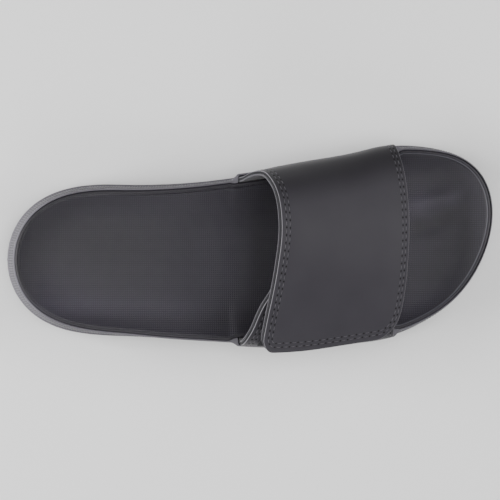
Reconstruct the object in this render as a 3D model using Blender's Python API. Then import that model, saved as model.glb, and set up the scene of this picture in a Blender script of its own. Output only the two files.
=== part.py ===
"""A sport slide sandal for the right foot, with a strap that opens and closes.

Lengths are in metres. X runs from the heel to the toes, Y towards the big toe and Z up.
The sole is a stack of rings that follow one outline. The two straps share one surface,
the top of the last, and lie on it at different distances.
"""

import bmesh
import bpy
import numpy as np

for old_object in list(bpy.data.objects):
    bpy.data.objects.remove(old_object, do_unlink=True)

# Plan of the sole
LENGTH = 0.285
HEEL_WIDTH = 0.0886
BALL_WIDTH = 0.1142
HEEL_ROUND = 0.067
TOE_ROUND = 0.080
HEEL_FULLNESS = 2.85
TOE_FULLNESS = 2.6

# Heights of the sole
HEEL_RIM = 0.0330
ARCH_RIM = 0.0300
BALL_RIM = 0.0262
TOE_RIM = 0.0305
HEEL_BED = 0.0245
BALL_BED = 0.0168
TOE_BED = 0.0232
FOOTBED_THICKNESS = 0.0055
OUTSOLE_THICKNESS = 0.0045
EDGE_ROUND = 0.0016
TOE_SPRING = 0.0100
HEEL_BEVEL = 0.0030
HEEL_BEVEL_LENGTH = 0.018
ARCH_RISE = 0.0022

# Where the arch and the toe spring lie, as shares of LENGTH, and how the spring curves
ARCH_START = 0.34
ARCH_END = 0.54
SPRING_START = 0.72
SPRING_POWER = 1.8

# Side wall of the midsole
LIP = 0.0010
EAR_BULGE = 0.0017
EAR_LENGTH = 0.030
EAR_RISE = 0.0065
EAR_LEAD = 0.0005
EAR_STOP = 0.0150
SIDE_RECESS = 0.0007
BUMPER_HEIGHT = 0.0050
COLLAR_HEIGHT = 0.0050
TOE_BUMPER = 0.0006
FOOT_ROUND = 0.0010
STEP_ROUND = 0.0006
LIP_ROUND = 0.0008
COLLAR_LEAN = 0.55

# Rounded rim of the footbed, how steeply its bed rises to it at the heel and toe, and the
# length over which the rim gives way to the straps
RIM_ROUND = 0.0013
RIM_WIDTH = 0.0025
BEAD = 0.0005
BED_EASE = 0.012
HEEL_CUP = 3.2
TOE_CUP = 4.4

# Tread
GROOVE_PITCH = 0.0145
GROOVE_WIDTH = 0.0024
GROOVE_DEPTH = 0.0018
GROOVE_WAVE = 0.0030
GROOVE_TURNS = 5
GROOVE_REACH = 0.0708
GROOVE_OVERRUN = 0.0060
TREAD_START = 0.0128
TREAD_END = 0.0200

# Straps
STRAP_WALL = 0.0031
PAD_THICKNESS = 0.0010
INSTEP_REAR = 0.0445
INSTEP_FRONT = 0.0230
BASE_REAR = 0.1345
BASE_FRONT = 0.2250
FLAP_END = 0.902
TAB_END = 0.440
PAD_MARGIN = 0.0070
REAR_CORNER = 0.0050
FRONT_CORNER = 0.0120
FLAP_SPRING = 0.0024

# Places across the straps, as parts of a turn: where the flap climbs on to the tab and
# springs at its end, and how far the pads run from the ends of the tab and the flap
CLIMB_START = 0.12
CLIMB_PAST_TAB = 0.10
SPRING_TURNS = 0.14
SPRING_SHARE = 0.70
LOOP_FROM_TAB_END = 0.12
LOOP_PAST_FLAP_END = 0.01
HOOK_FROM_TAB_END = 0.24
HOOK_BEFORE_FLAP_END = 0.03

# Clearances
GAP = 0.0003
SLOT_PLAY = 0.0006

# The strap's slots lean inwards and down, run a little past the base, and end in a step.
SLOT_SLANT = 0.0024
SLOT_STEP = 0.0012
SLOT_END = 0.0018

# Points of a ring on each side of the shoe: behind, along and before the strap's slot.
RING_COUNTS = (17, 13, 18)

# Rings inside the edge of the sole and of the footbed, as shares of the way from the
# spine. The spine's ends are shares of LENGTH.
SOLE_RINGS = (0.35, 0.75, 1.0)
BED_RINGS = (0.93, 0.85, 0.75, 0.62, 0.46, 0.28, 0.10)
SPINE_START = 0.11
SPINE_END = 0.88

# Rows and columns of the straps, and the rows near a rounded corner, as shares of it.
TURN_STEPS = 25
STRAP_COLUMNS = 12
CORNER_ROWS = (0.0, 0.12, 0.3, 0.6, 1.0, 1.6)

SHARP_ANGLE = 40
SMALL_LENGTH = 1e-3
SMALL_ANGLE = 1e-4
SMALL_TURN = 0.004
ROW_CLEARANCE = 0.01

# Plan of the sole. along: share of LENGTH from the heel. spread: 0 is the heel's
# width and 1 the ball's. drift: mid line towards the big toe, share of BALL_WIDTH.
PLAN = (
    # along, spread, drift
    (0.000, 0.00, 0.000),
    (0.180, 0.00, -0.001),
    (0.295, 0.04, -0.008),
    (0.400, 0.18, -0.008),
    (0.460, 0.31, -0.004),
    (0.560, 0.55, 0.011),
    (0.667, 0.79, 0.039),
    (0.790, 1.00, 0.094),
    (0.874, 1.00, 0.138),
    (0.954, 1.00, 0.198),
    (1.000, 1.00, 0.239),
)

# Heights along the sole. along: share of LENGTH. rim and bed: heights above the floor.
HEIGHTS = (
    # along, rim, bed
    (0.000, HEEL_RIM, HEEL_BED),
    (0.140, HEEL_RIM, HEEL_BED),
    (0.420, ARCH_RIM, 0.25 * BALL_BED + 0.75 * HEEL_BED),
    (0.650, BALL_RIM, BALL_BED),
    (0.800, BALL_RIM, BALL_BED),
    (0.930, 0.4 * BALL_RIM + 0.6 * TOE_RIM, 0.35 * BALL_BED + 0.65 * TOE_BED),
    (1.000, TOE_RIM, TOE_BED),
)

# Section of the footbed's rim. across: inset from its side. up: height above the side
# wall's top. Both are shares of RIM_ROUND.
RIM_SECTION = (
    # across, up
    (0.0, -0.80),
    (0.3, -0.20),
    (1.0, 0.15),
)
RIM_DROP = 0.20

# Relief of the footbed. along: share of LENGTH. across: share of BALL_WIDTH from the
# mid line, towards the big toe. reach and breadth: shares of BALL_WIDTH, along and
# across. rise: share of FOOTBED_THICKNESS, negative for a hollow.
RELIEF = (
    # along, across, reach, breadth, rise
    (0.865, 0.300, 0.150, 0.075, -0.30),
    (0.880, 0.165, 0.150, 0.050, 0.32),
    (0.870, 0.020, 0.110, 0.045, -0.18),
    (0.875, -0.150, 0.090, 0.110, 0.22),
    (0.400, 0.300, 0.350, 0.140, 0.55),
)

# Section of the strap's inner face, from the big-toe side over the instep. turn: 0 at
# the base there and 1 at the base on the outer side. across: share of half the base
# width. up: share of the instep height above the rim.
SECTION = (
    # turn, across, up
    (0.000, 1.000, 0.000),
    (0.030, 1.004, 0.085),
    (0.080, 1.034, 0.230),
    (0.145, 1.044, 0.430),
    (0.210, 1.000, 0.630),
    (0.280, 0.870, 0.820),
    (0.360, 0.680, 0.945),
    (0.450, 0.420, 1.000),
    (0.545, 0.120, 0.970),
    (0.640, -0.180, 0.885),
    (0.730, -0.460, 0.765),
    (0.805, -0.690, 0.640),
    (0.865, -0.875, 0.520),
    (0.910, -0.985, 0.400),
    (0.950, -1.025, 0.250),
    (0.980, -1.015, 0.100),
    (1.000, -1.000, 0.000),
)

# Inset of the side wall's top from its widest place. along: share of LENGTH from the heel.
# inner: on the big-toe side, in metres. outer: on the other side.
WALL_LEAN = (
    # along, inner, outer
    (0.00, 0.0036, 0.0036),
    (0.10, 0.0037, 0.0036),
    (0.23, 0.0037, 0.0025),
    (0.31, 0.0033, 0.0013),
    (0.48, 0.0027, 0.0013),
    (0.72, 0.0030, 0.0030),
    (0.85, 0.0030, 0.0031),
    (0.93, 0.0023, 0.0019),
    (1.00, 0.0021, 0.0021),
)

# Cut edges of the two straps. turn: as in SECTION. rear and front: how far each edge
# runs ahead of its place at the base, as a share of the base's length.
FLAP_EDGES = (
    # turn, rear, front
    (0.00, 0.000, 0.000),
    (0.10, 0.070, -0.004),
    (0.20, 0.130, 0.000),
    (0.32, 0.180, 0.022),
    (0.45, 0.190, 0.036),
    (0.60, 0.165, 0.038),
    (0.75, 0.130, 0.023),
    (0.90, 0.090, -0.018),
    (1.00, 0.065, -0.050),
)
TAB_EDGES = (
    # turn, rear, front
    (0.40, 0.210, -0.030),
    (0.60, 0.184, -0.022),
    (0.70, 0.152, -0.022),
    (0.76, 0.112, -0.022),
    (0.85, 0.055, -0.022),
    (0.93, 0.006, -0.014),
    (1.00, 0.000, -0.004),
)

COLOURS = {
    "outsole": ((0.045, 0.045, 0.048), 0.75),
    "midsole": ((0.110, 0.110, 0.118), 0.70),
    "footbed": ((0.050, 0.050, 0.055), 0.62),
    "strap_flap": ((0.066, 0.065, 0.073), 0.50),
    "strap_tab": ((0.060, 0.059, 0.067), 0.50),
    "hook_pad": ((0.020, 0.020, 0.022), 0.85),
    "loop_pad": ((0.030, 0.030, 0.032), 0.90),
}


def follow(table, column, at):
    """Smooth curve through one column of a table, against the table's first column."""
    rows = np.array(table, float)
    stations = rows[:, 0]
    values = rows[:, column]
    slopes = np.gradient(values, stations)
    at = np.clip(at, stations[0], stations[-1])
    k = np.clip(np.searchsorted(stations, at, side="right") - 1, 0, len(stations) - 2)
    step = stations[k + 1] - stations[k]
    t = (at - stations[k]) / step
    start = (1 + 2 * t) * (1 - t) ** 2 * values[k] + t * (1 - t) ** 2 * step * slopes[k]
    end = t**2 * (3 - 2 * t) * values[k + 1] + t**2 * (t - 1) * step * slopes[k + 1]
    return start + end


def eased(value, low, high):
    """0 below low, 1 above high, and a smooth S between them."""
    t = np.clip((value - low) / (high - low), 0, 1)
    return t * t * (3 - 2 * t)


def mid_line(x):
    """Y of the sole's mid line."""
    return BALL_WIDTH * follow(PLAN, 2, x / LENGTH)


def half_width(x):
    """Half the sole's width, closed at the heel and toe by two round ends."""
    spread = follow(PLAN, 1, x / LENGTH)
    full = (HEEL_WIDTH + (BALL_WIDTH - HEEL_WIDTH) * spread) / 2
    heel = np.clip(1 - x / HEEL_ROUND, 0, 1) ** HEEL_FULLNESS
    toe = np.clip((x - LENGTH + TOE_ROUND) / TOE_ROUND, 0, 1) ** TOE_FULLNESS
    return full * np.sqrt((1 - heel) * (1 - toe))


def rim_height(x):
    """Height of the side wall's top."""
    return follow(HEIGHTS, 1, x / LENGTH)


def bed_height(x):
    """Height of the footbed along its mid line."""
    return follow(HEIGHTS, 2, x / LENGTH)


def shelf_height(x):
    """Height of the midsole's shelf, which carries the footbed."""
    return bed_height(x) - FOOTBED_THICKNESS - GAP


def bottom_height(x):
    """Underside: a bevelled heel, a flat, the arch, a flat and the toe spring."""
    heel = HEEL_BEVEL * (1 - eased(x, 0, HEEL_BEVEL_LENGTH))
    arch_share = np.clip((x / LENGTH - ARCH_START) / (ARCH_END - ARCH_START), 0, 1)
    arch = ARCH_RISE * np.sin(np.pi * arch_share) ** 2
    toe_share = np.clip((x / LENGTH - SPRING_START) / (1 - SPRING_START), 0, 1)
    return heel + arch + TOE_SPRING * toe_share**SPRING_POWER


def wall_lean(angle):
    """How far the side wall leans in from its widest place to its top."""
    along = (1 - np.cos(angle)) / 2
    inner, outer = follow(WALL_LEAN, 1, along), follow(WALL_LEAN, 2, along)
    return np.where(np.sin(angle) >= 0, inner, outer)


def ear_bulge(x):
    """How far the wall swells round the strap's base: quickly at its rear, then fading."""
    full = BASE_REAR - EAR_LEAD
    rise = eased(x, full - EAR_RISE, full)
    fade = 1 - eased(x, BASE_REAR + EAR_LENGTH, BASE_FRONT - EAR_STOP)
    return EAR_BULGE * rise * fade


def strap_inset(x):
    """Inset from the sole's edge to the strap's outer face, down in its slot."""
    return LIP + SLOT_PLAY - ear_bulge(x)


def slot_share(x):
    """1 along the strap's slot and 0 elsewhere, with a short step at each end."""
    rear, front = BASE_REAR - SLOT_END, BASE_FRONT + SLOT_END
    return eased(x, rear - SLOT_STEP, rear) * (1 - eased(x, front, front + SLOT_STEP))


def strap_share(x):
    """1 along the straps, easing to 0 behind and before them."""
    behind = eased(x, BASE_REAR - BED_EASE, BASE_REAR)
    return behind * (1 - eased(x, BASE_FRONT, BASE_FRONT + BED_EASE))


def bed_inset(angle):
    """Inset from the sole's edge to the footbed's side, behind the wall and the strap."""
    x = LENGTH * (1 - np.cos(angle)) / 2
    behind_strap = strap_inset(x) + STRAP_WALL + SLOT_PLAY
    beside_wall = wall_lean(angle) + GAP
    return beside_wall + strap_share(x) * np.maximum(behind_strap - beside_wall, 0)


def outline_at(angle):
    """Edge of the sole. The angle runs from the heel by the big-toe side to the toe and back."""
    x = LENGTH * (1 - np.cos(angle)) / 2
    side = np.where(np.sin(angle) >= 0, 1.0, -1.0)
    return np.stack([x, mid_line(x) + side * half_width(x)], axis=-1)


def spaced(first, last, count):
    """Angles between two angles, an equal length of edge apart."""
    angles = np.linspace(first, last, 400)
    steps = np.linalg.norm(np.diff(outline_at(angles), axis=0), axis=1)
    run = np.concatenate([[0], np.cumsum(steps)])
    return np.interp(np.linspace(0, run[-1], count), run, angles)


def ring_angles():
    """Places round the outline, with one at each side of the steps of the strap's slots."""
    rear, front = BASE_REAR - SLOT_END, BASE_FRONT + SLOT_END
    places = np.array([rear - SLOT_STEP, rear, front, front + SLOT_STEP])
    marks = np.arccos(1 - 2 * places / LENGTH)
    heel = spaced(0, marks[0], RING_COUNTS[0])
    slot = spaced(marks[1], marks[2], RING_COUNTS[1])
    toe = spaced(marks[3], np.pi, RING_COUNTS[2])
    half = np.concatenate([heel, slot, toe])
    return np.concatenate([half, 2 * np.pi - half[-2:0:-1]])


ANGLES = ring_angles()
EDGE = outline_at(ANGLES)
TANGENT = outline_at(ANGLES + SMALL_ANGLE) - outline_at(ANGLES - SMALL_ANGLE)
TANGENT /= np.linalg.norm(TANGENT, axis=1, keepdims=True)
OUTWARD = np.stack([-TANGENT[:, 1], TANGENT[:, 0]], axis=1)
ALONG = EDGE[:, 0]
SPINE_X = SPINE_START * LENGTH + (SPINE_END - SPINE_START) * ALONG
SPINE = np.stack([SPINE_X, mid_line(SPINE_X)], axis=1)


def inset_plan(inset):
    """The outline moved inwards by a distance."""
    return EDGE - OUTWARD * np.broadcast_to(inset, ALONG.shape)[:, None]


def inner_plan(inset, share):
    """The inset outline shrunk towards the spine, to a share of its way."""
    return SPINE + share * (inset_plan(inset) - SPINE)


def ring(plan, height):
    """A ring of points at the plan's places, at one height or one for each point."""
    return np.column_stack([plan, np.broadcast_to(height, len(plan))])


def make_object(name, points, faces):
    """A closed mesh with its faces outwards, smooth but for its sharp edges."""
    mesh = bpy.data.meshes.new(name)
    mesh.from_pydata([tuple(p) for p in points], [], faces)
    shape = bmesh.new()
    shape.from_mesh(mesh)
    bmesh.ops.recalc_face_normals(shape, faces=shape.faces)
    shape.to_mesh(mesh)
    shape.free()
    mesh.shade_smooth()
    mesh.set_sharp_from_angle(angle=np.radians(SHARP_ANGLE))
    made = bpy.data.objects.new(name, mesh)
    bpy.context.collection.objects.link(made)
    if name in COLOURS:
        mesh.materials.append(make_material(name))
    return made


def make_material(name):
    """The piece's own plain material."""
    colour, roughness = COLOURS[name]
    material = bpy.data.materials.new(name)
    material.use_nodes = True
    shader = material.node_tree.nodes["Principled BSDF"]
    shader.inputs["Base Color"].default_value = (*colour, 1)
    shader.inputs["Roughness"].default_value = roughness
    return material


def across_strip(start, count):
    """Triangles that close a ring from one side of the shoe to the other."""
    middle = count // 2
    faces = [(start, start + 1, start + count - 1)]
    for i in range(1, middle - 1):
        near, far = start + i, start + count - i
        faces += [(near, near + 1, far), (near + 1, far - 1, far)]
    faces.append((start + middle - 1, start + middle, start + middle + 1))
    return faces


def loft(name, rings):
    """A solid through closed rings, its first and last ring closed across.

    Each quad is split the same way, so that two faces a gap apart stay that far apart.
    """
    count = len(rings[0])
    faces = across_strip(0, count) + across_strip((len(rings) - 1) * count, count)
    for k in range(len(rings) - 1):
        for i in range(count):
            low, low_next = k * count + i, k * count + (i + 1) % count
            faces += [(low, low_next, low_next + count), (low, low_next + count, low + count)]
    return make_object(name, np.concatenate(rings), faces)


def make_outsole():
    """Rubber sole with a rounded edge and grooves across its tread."""
    top = OUTSOLE_THICKNESS
    shape = []
    for share in SOLE_RINGS:
        plan = inner_plan(EDGE_ROUND, share)
        shape.append(ring(plan, bottom_height(plan[:, 0]) + top))
    for inset, up in ((0, top), (0, top / 2), (EDGE_ROUND / 4, top / 4), (EDGE_ROUND, 0)):
        plan = inset_plan(inset)
        shape.append(ring(plan, bottom_height(plan[:, 0]) + up))
    for share in SOLE_RINGS[-2::-1]:
        plan = inner_plan(EDGE_ROUND, share)
        shape.append(ring(plan, bottom_height(plan[:, 0])))
    outsole = loft("outsole", shape)
    grooves = make_grooves()
    cut = outsole.modifiers.new("grooves", "BOOLEAN")
    cut.operation = "DIFFERENCE"
    cut.object = grooves
    grooves.parent = outsole
    return outsole


def make_grooves():
    """Zigzag bars across the sole, which cut its tread into lugs."""
    points, faces = [], []
    ys = np.linspace(-GROOVE_REACH, GROOVE_REACH, GROOVE_TURNS * 2 + 1)
    wave = GROOVE_WAVE * np.where(np.arange(len(ys)) % 2, 1.0, -1.0)
    for x in np.arange(TREAD_START, LENGTH - TREAD_END, GROOVE_PITCH):
        y_mid = mid_line(x)
        start = len(points)
        for side in (-1, 1):
            for level in (-GROOVE_OVERRUN, GROOVE_DEPTH):
                for y, shift in zip(ys, wave):
                    width = side * GROOVE_WIDTH / 2
                    points.append((x + width + shift, y_mid + y, bottom_height(x) + level))
        n = len(ys)
        for i in range(n - 1):
            for a, b in ((0, 1), (1, 3), (3, 2), (2, 0)):
                low, high = start + a * n + i, start + b * n + i
                faces.append((low, low + 1, high + 1, high))
        faces.append((start, start + n, start + 3 * n, start + 2 * n))
        faces.append((start + n - 1, start + 2 * n - 1, start + 4 * n - 1, start + 3 * n - 1))
    grooves = make_object("groove_cutter", points, faces)
    grooves.hide_render = True
    grooves.display_type = "WIRE"
    return grooves


def make_midsole():
    """Foam carrier: a stepped side wall with a thin lip, round the footbed and the straps."""
    toe = TOE_BUMPER * eased(ALONG, LENGTH - TOE_ROUND, LENGTH)
    lean = wall_lean(ANGLES)
    rim = rim_height(ALONG)
    bulge = ear_bulge(ALONG)
    inner = lean + slot_share(ALONG) * (LIP - bulge - lean)
    base = OUTSOLE_THICKNESS + GAP
    shape = []
    for share in SOLE_RINGS:
        plan = inner_plan(EDGE_ROUND, share)
        shape.append(ring(plan, bottom_height(plan[:, 0]) + base))
    for inset, up in ((FOOT_ROUND, 0), (FOOT_ROUND / 5, FOOT_ROUND), (0, BUMPER_HEIGHT)):
        plan = inset_plan(inset + toe)
        shape.append(ring(plan, bottom_height(plan[:, 0]) + base + up))
    foot = bottom_height(ALONG) + base + BUMPER_HEIGHT
    collar = rim - COLLAR_HEIGHT
    crest = inner - LIP
    shape.append(ring(inset_plan(SIDE_RECESS + toe), foot + STEP_ROUND))
    recess = SIDE_RECESS * (1 - bulge / EAR_BULGE)
    shape.append(ring(inset_plan(COLLAR_LEAN * crest + recess), collar - STEP_ROUND))
    shape.append(ring(inset_plan(COLLAR_LEAN * crest), collar))
    shape.append(ring(inset_plan(crest), rim - LIP_ROUND))
    shape.append(ring(inset_plan(crest + LIP_ROUND / 2), rim))
    shape.append(ring(inset_plan(inner), rim - LIP_ROUND / 3))
    slant = SLOT_SLANT * slot_share(ALONG)
    shape.append(ring(inset_plan(inner + slant), shelf_height(ALONG)))
    for share in SOLE_RINGS[-2::-1]:
        plan = inner_plan(inner + slant, share)
        shape.append(ring(plan, shelf_height(plan[:, 0])))
    return loft("midsole", shape)


def relief_at(plan):
    """Height that the toe ridges, hollows and arch add at places of the footbed."""
    total = np.zeros(len(plan))
    for along, across, reach, breadth, rise in RELIEF:
        far = (plan[:, 0] - along * LENGTH) / (reach * BALL_WIDTH)
        wide = (plan[:, 1] - mid_line(plan[:, 0]) - across * BALL_WIDTH) / (breadth * BALL_WIDTH)
        total += rise * FOOTBED_THICKNESS * np.exp(-(far**2) - wide**2)
    return total


def make_footbed():
    """Foam insert with a rounded rim, a heel cup, an arch and a relief for the toes."""
    side = bed_inset(ANGLES)
    foot = side + SLOT_SLANT * strap_share(ALONG)
    rim = rim_height(ALONG)
    shape = []
    for share in SOLE_RINGS:
        plan = inner_plan(foot, share)
        shape.append(ring(plan, shelf_height(plan[:, 0]) + GAP))
    for across, up in RIM_SECTION:
        shape.append(ring(inset_plan(side + across * RIM_ROUND), rim + up * RIM_ROUND))
    shoulder = rim - RIM_DROP * RIM_ROUND
    shape.append(ring(inset_plan(side + RIM_WIDTH - BEAD), shoulder))
    edge = shoulder - BEAD
    shape.append(ring(inset_plan(side + RIM_WIDTH), edge))
    cup = HEEL_CUP + (TOE_CUP - HEEL_CUP) * eased(ALONG, BASE_REAR, BASE_FRONT)
    for share in BED_RINGS:
        plan = inner_plan(side + RIM_WIDTH, share)
        low = bed_height(plan[:, 0])
        shape.append(ring(plan, low + (edge - low) * share**cup + relief_at(plan)))
    return loft("footbed", shape)


def instep_height(x):
    """Height of the strap's inner face above the rim, at its highest."""
    along = (x - BASE_REAR) / (BASE_FRONT - BASE_REAR)
    return INSTEP_REAR + (INSTEP_FRONT - INSTEP_REAR) * along


def base_places(x):
    """Y of the straps' inner faces where they leave the sole: big-toe side, outer side."""
    places = []
    for side in (1, -1):
        edge = mid_line(x) + side * half_width(x)
        ahead = mid_line(x + SMALL_LENGTH) + side * half_width(x + SMALL_LENGTH)
        slant = np.sqrt(1 + ((ahead - edge) / SMALL_LENGTH) ** 2)
        places.append(edge - side * (strap_inset(x) + STRAP_WALL) * slant)
    return places


def last_point(x, turn):
    """Inner face of the straps over the foot, as the last would shape it."""
    inner, outer = base_places(x)
    y = (inner + outer) / 2 + (inner - outer) / 2 * follow(SECTION, 1, turn)
    z = rim_height(x) + instep_height(x) * follow(SECTION, 2, turn)
    return np.stack([x, y, z], axis=-1)


def strap_face(x, turn, sink, lift):
    """Points of a strap surface, lifted off the last along its outward normal.

    sink is 0 over the foot, and runs from 0 at the rim to 1 at the floor of the slot.
    """
    along = last_point(x + SMALL_LENGTH, turn) - last_point(x - SMALL_LENGTH, turn)
    before = last_point(x, np.clip(turn - SMALL_TURN, 0, 1))
    after = last_point(x, np.clip(turn + SMALL_TURN, 0, 1))
    normal = np.cross(along, before - after)
    normal[..., 2] *= (turn > 0) & (turn < 1)
    normal /= np.linalg.norm(normal, axis=-1, keepdims=True)
    points = last_point(x, turn) + normal * np.asarray(lift)[..., None]
    points[..., 1] -= np.where(turn < 0.5, 1, -1) * SLOT_SLANT * sink
    points[..., 2] -= sink * (rim_height(x) - shelf_height(x) - GAP)
    return points


def slab(name, lower, upper):
    """A closed solid between two grids of points, with walls round their edges."""
    rows, columns = lower.shape[:2]
    index = np.arange(rows * columns).reshape(rows, columns)
    top = index + rows * columns
    faces = []
    for grid in (index, top):
        quads = np.stack([grid[:-1, :-1], grid[1:, :-1], grid[1:, 1:], grid[:-1, 1:]], axis=-1)
        faces += quads.reshape(-1, 4).tolist()
    loop = np.concatenate([index[0, :-1], index[:-1, -1], index[-1, :0:-1], index[:0:-1, 0]])
    following = np.roll(loop, -1)
    shift = rows * columns
    faces += np.stack([loop, following, following + shift, loop + shift], axis=-1).tolist()
    points = np.concatenate([lower.reshape(-1, 3), upper.reshape(-1, 3)])
    return make_object(name, points, faces)


def cut_edges(table, turns):
    """X of a strap's rear and front edge at places across the foot."""
    base = BASE_FRONT - BASE_REAR
    rear = BASE_REAR + base * follow(table, 1, turns)
    return rear, BASE_FRONT + base * follow(table, 2, turns)


def corner_cut(distance, radius):
    """How far a rounded corner draws an edge in, at a distance from the strap's end."""
    short = np.clip(radius - distance, 0, radius)
    return radius - np.sqrt(radius**2 - short**2)


def flap_lift(turn, share):
    """Height of the flap's inner face above the last.

    It climbs over the tab and the pads, and its rear corner springs away from them.
    """
    stack = STRAP_WALL + 2 * PAD_THICKNESS + 3 * GAP
    spring = eased(turn, FLAP_END - SPRING_TURNS, FLAP_END) * (1 - eased(share, 0, SPRING_SHARE))
    climb = eased(turn, CLIMB_START, TAB_END + CLIMB_PAST_TAB)
    return stack * climb + FLAP_SPRING * spring


def turns_between(first, last):
    """Shared places across the strap between two of them, so that stacked faces match."""
    grid = np.linspace(0, 1, TURN_STEPS + 1)
    inside = grid[(grid > first + ROW_CLEARANCE) & (grid < last - ROW_CLEARANCE)]
    return np.concatenate([[first], inside, [last]])


def section_length(x):
    """Length of the strap's section over the foot at one place along the shoe."""
    turns = np.linspace(0, 1, 200)
    line = last_point(np.full(200, x), turns)
    return np.linalg.norm(np.diff(line, axis=0), axis=1).sum()


def make_flap():
    """Wide strap: rooted on the big-toe side, its free end rounded on the outer side."""
    long_side = section_length((BASE_REAR + BASE_FRONT) / 2)
    ends = FLAP_END - np.array(CORNER_ROWS[::-1]) * FRONT_CORNER / long_side
    turns = turns_between(0, FLAP_END)
    turns = np.concatenate([turns[turns < ends[0] - ROW_CLEARANCE], ends])
    sink = np.concatenate([[1.0, 0.5], np.zeros(len(turns))])
    turns = np.concatenate([[0.0, 0.0], turns])
    to_end = (FLAP_END - turns) * long_side
    rear, front = cut_edges(FLAP_EDGES, turns)
    rear = rear + corner_cut(to_end, REAR_CORNER)
    front = front - corner_cut(to_end, FRONT_CORNER)
    lift = flap_lift(turns[:, None], np.linspace(0, 1, STRAP_COLUMNS))
    return strap_solid("strap_flap", turns, sink, rear, front, lift, STRAP_WALL)


def strap_solid(name, turns, sink, rear, front, lift, thickness):
    """A strap or pad between its rear and front edges, row by row across the foot."""
    shares = np.linspace(0, 1, STRAP_COLUMNS)
    x = rear[:, None] + (front - rear)[:, None] * shares
    turn = np.broadcast_to(turns[:, None], x.shape)
    deep = np.broadcast_to(sink[:, None], x.shape)
    low = np.broadcast_to(lift, x.shape)
    lower = strap_face(x, turn, deep, low)
    upper = strap_face(x, turn, deep, low + thickness)
    return slab(name, lower, upper)


def make_tab():
    """Short strap: rooted on the outer side, it ends under the flap over the instep."""
    turns = turns_between(TAB_END, 1)
    sink = np.concatenate([np.zeros(len(turns)), [0.5, 1.0]])
    turns = np.concatenate([turns, [1.0, 1.0]])
    rear, front = cut_edges(TAB_EDGES, turns)
    return strap_solid("strap_tab", turns, sink, rear, front, 0, STRAP_WALL)


def make_pad(name, first, last, lift):
    """One half of the hook and loop closure, inside the edges of the tab."""
    turns = turns_between(first, last)
    tab_rear, tab_front = cut_edges(TAB_EDGES, turns)
    flap_rear, flap_front = cut_edges(FLAP_EDGES, turns)
    rear = np.maximum(tab_rear + PAD_MARGIN, flap_rear - PAD_MARGIN / 2)
    front = np.minimum(tab_front, flap_front) - PAD_MARGIN
    return strap_solid(name, turns, np.zeros(len(turns)), rear, front, lift, PAD_THICKNESS)


def centre_on_floor(pieces):
    """Parents the pieces to one empty, so that the sandal stands centred on the origin."""
    bpy.context.view_layer.update()
    corners = np.array([corner for piece in pieces for corner in piece.bound_box])
    middle = (corners.min(axis=0) + corners.max(axis=0)) / 2
    holder = bpy.data.objects.new("sandal", None)
    bpy.context.collection.objects.link(holder)
    holder.location = (-middle[0], -middle[1], -corners[:, 2].min())
    for piece in pieces:
        piece.parent = holder


def main():
    """Makes the sandal's seven pieces."""
    pieces = [make_outsole(), make_midsole(), make_footbed(), make_flap(), make_tab()]
    lift = STRAP_WALL + GAP
    first, last = TAB_END + LOOP_FROM_TAB_END, FLAP_END + LOOP_PAST_FLAP_END
    pieces.append(make_pad("loop_pad", first, last, lift))
    lift += PAD_THICKNESS + GAP
    first, last = TAB_END + HOOK_FROM_TAB_END, FLAP_END - HOOK_BEFORE_FLAP_END
    pieces.append(make_pad("hook_pad", first, last, lift))
    centre_on_floor(pieces)


main()
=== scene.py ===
# %% [markdown]
# # Sport slide sandal, right foot
# The sandal is a thick foam sole with a contoured footbed and two padded straps. The wide
# strap comes from the big-toe side, crosses the instep and closes on a shorter strap from
# the outer side with hook and loop tape.
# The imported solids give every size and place. Here each one gets its finished surface:
# numpy works out smooth grids on the same curves, and small parts such as stitches follow
# them. The curves are written again as named sizes, because a faceted solid is too coarse
# to show a smooth rim.

import bmesh
import bpy
import numpy as np
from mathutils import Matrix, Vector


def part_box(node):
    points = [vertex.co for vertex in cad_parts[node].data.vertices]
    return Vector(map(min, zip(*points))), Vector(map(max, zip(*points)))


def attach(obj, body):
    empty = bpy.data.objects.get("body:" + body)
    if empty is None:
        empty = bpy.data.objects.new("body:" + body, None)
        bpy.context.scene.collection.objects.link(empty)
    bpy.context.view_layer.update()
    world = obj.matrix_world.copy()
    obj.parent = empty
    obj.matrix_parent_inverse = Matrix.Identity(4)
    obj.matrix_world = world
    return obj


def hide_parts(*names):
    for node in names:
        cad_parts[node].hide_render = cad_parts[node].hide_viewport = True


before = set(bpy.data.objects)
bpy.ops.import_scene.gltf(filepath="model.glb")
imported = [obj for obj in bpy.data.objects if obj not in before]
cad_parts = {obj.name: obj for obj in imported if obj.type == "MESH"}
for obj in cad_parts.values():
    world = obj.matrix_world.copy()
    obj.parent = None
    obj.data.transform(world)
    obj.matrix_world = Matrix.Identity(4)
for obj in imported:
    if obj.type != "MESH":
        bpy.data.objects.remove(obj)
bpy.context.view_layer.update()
print("nodes:", sorted(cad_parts))

# %% [markdown]
# ## The last and the sole's curves
# A shoemaker starts from the last: its plan, its heights and its section over the instep.
# Each is a short table along or across the foot, joined by a smooth curve. A spline tool
# would do the same by hand, but a table and one function can be read and changed.

# %% Sizes of the sole, in metres
LENGTH = 0.285
HEEL_WIDTH = 0.0886
BALL_WIDTH = 0.1142
HEEL_ROUND = 0.067
TOE_ROUND = 0.080
HEEL_FULLNESS = 2.85
TOE_FULLNESS = 2.6
HEEL_RIM = 0.0330
ARCH_RIM = 0.0300
BALL_RIM = 0.0262
TOE_RIM = 0.0305
HEEL_BED = 0.0245
BALL_BED = 0.0168
TOE_BED = 0.0232
FOOTBED_THICKNESS = 0.0055
OUTSOLE_THICKNESS = 0.0045
TOE_SPRING = 0.0100
HEEL_BEVEL = 0.0030
HEEL_BEVEL_LENGTH = 0.018
ARCH_RISE = 0.0022
ARCH_START = 0.34
ARCH_END = 0.54
SPRING_START = 0.72
SPRING_POWER = 1.8
GAP = 0.0003

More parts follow.
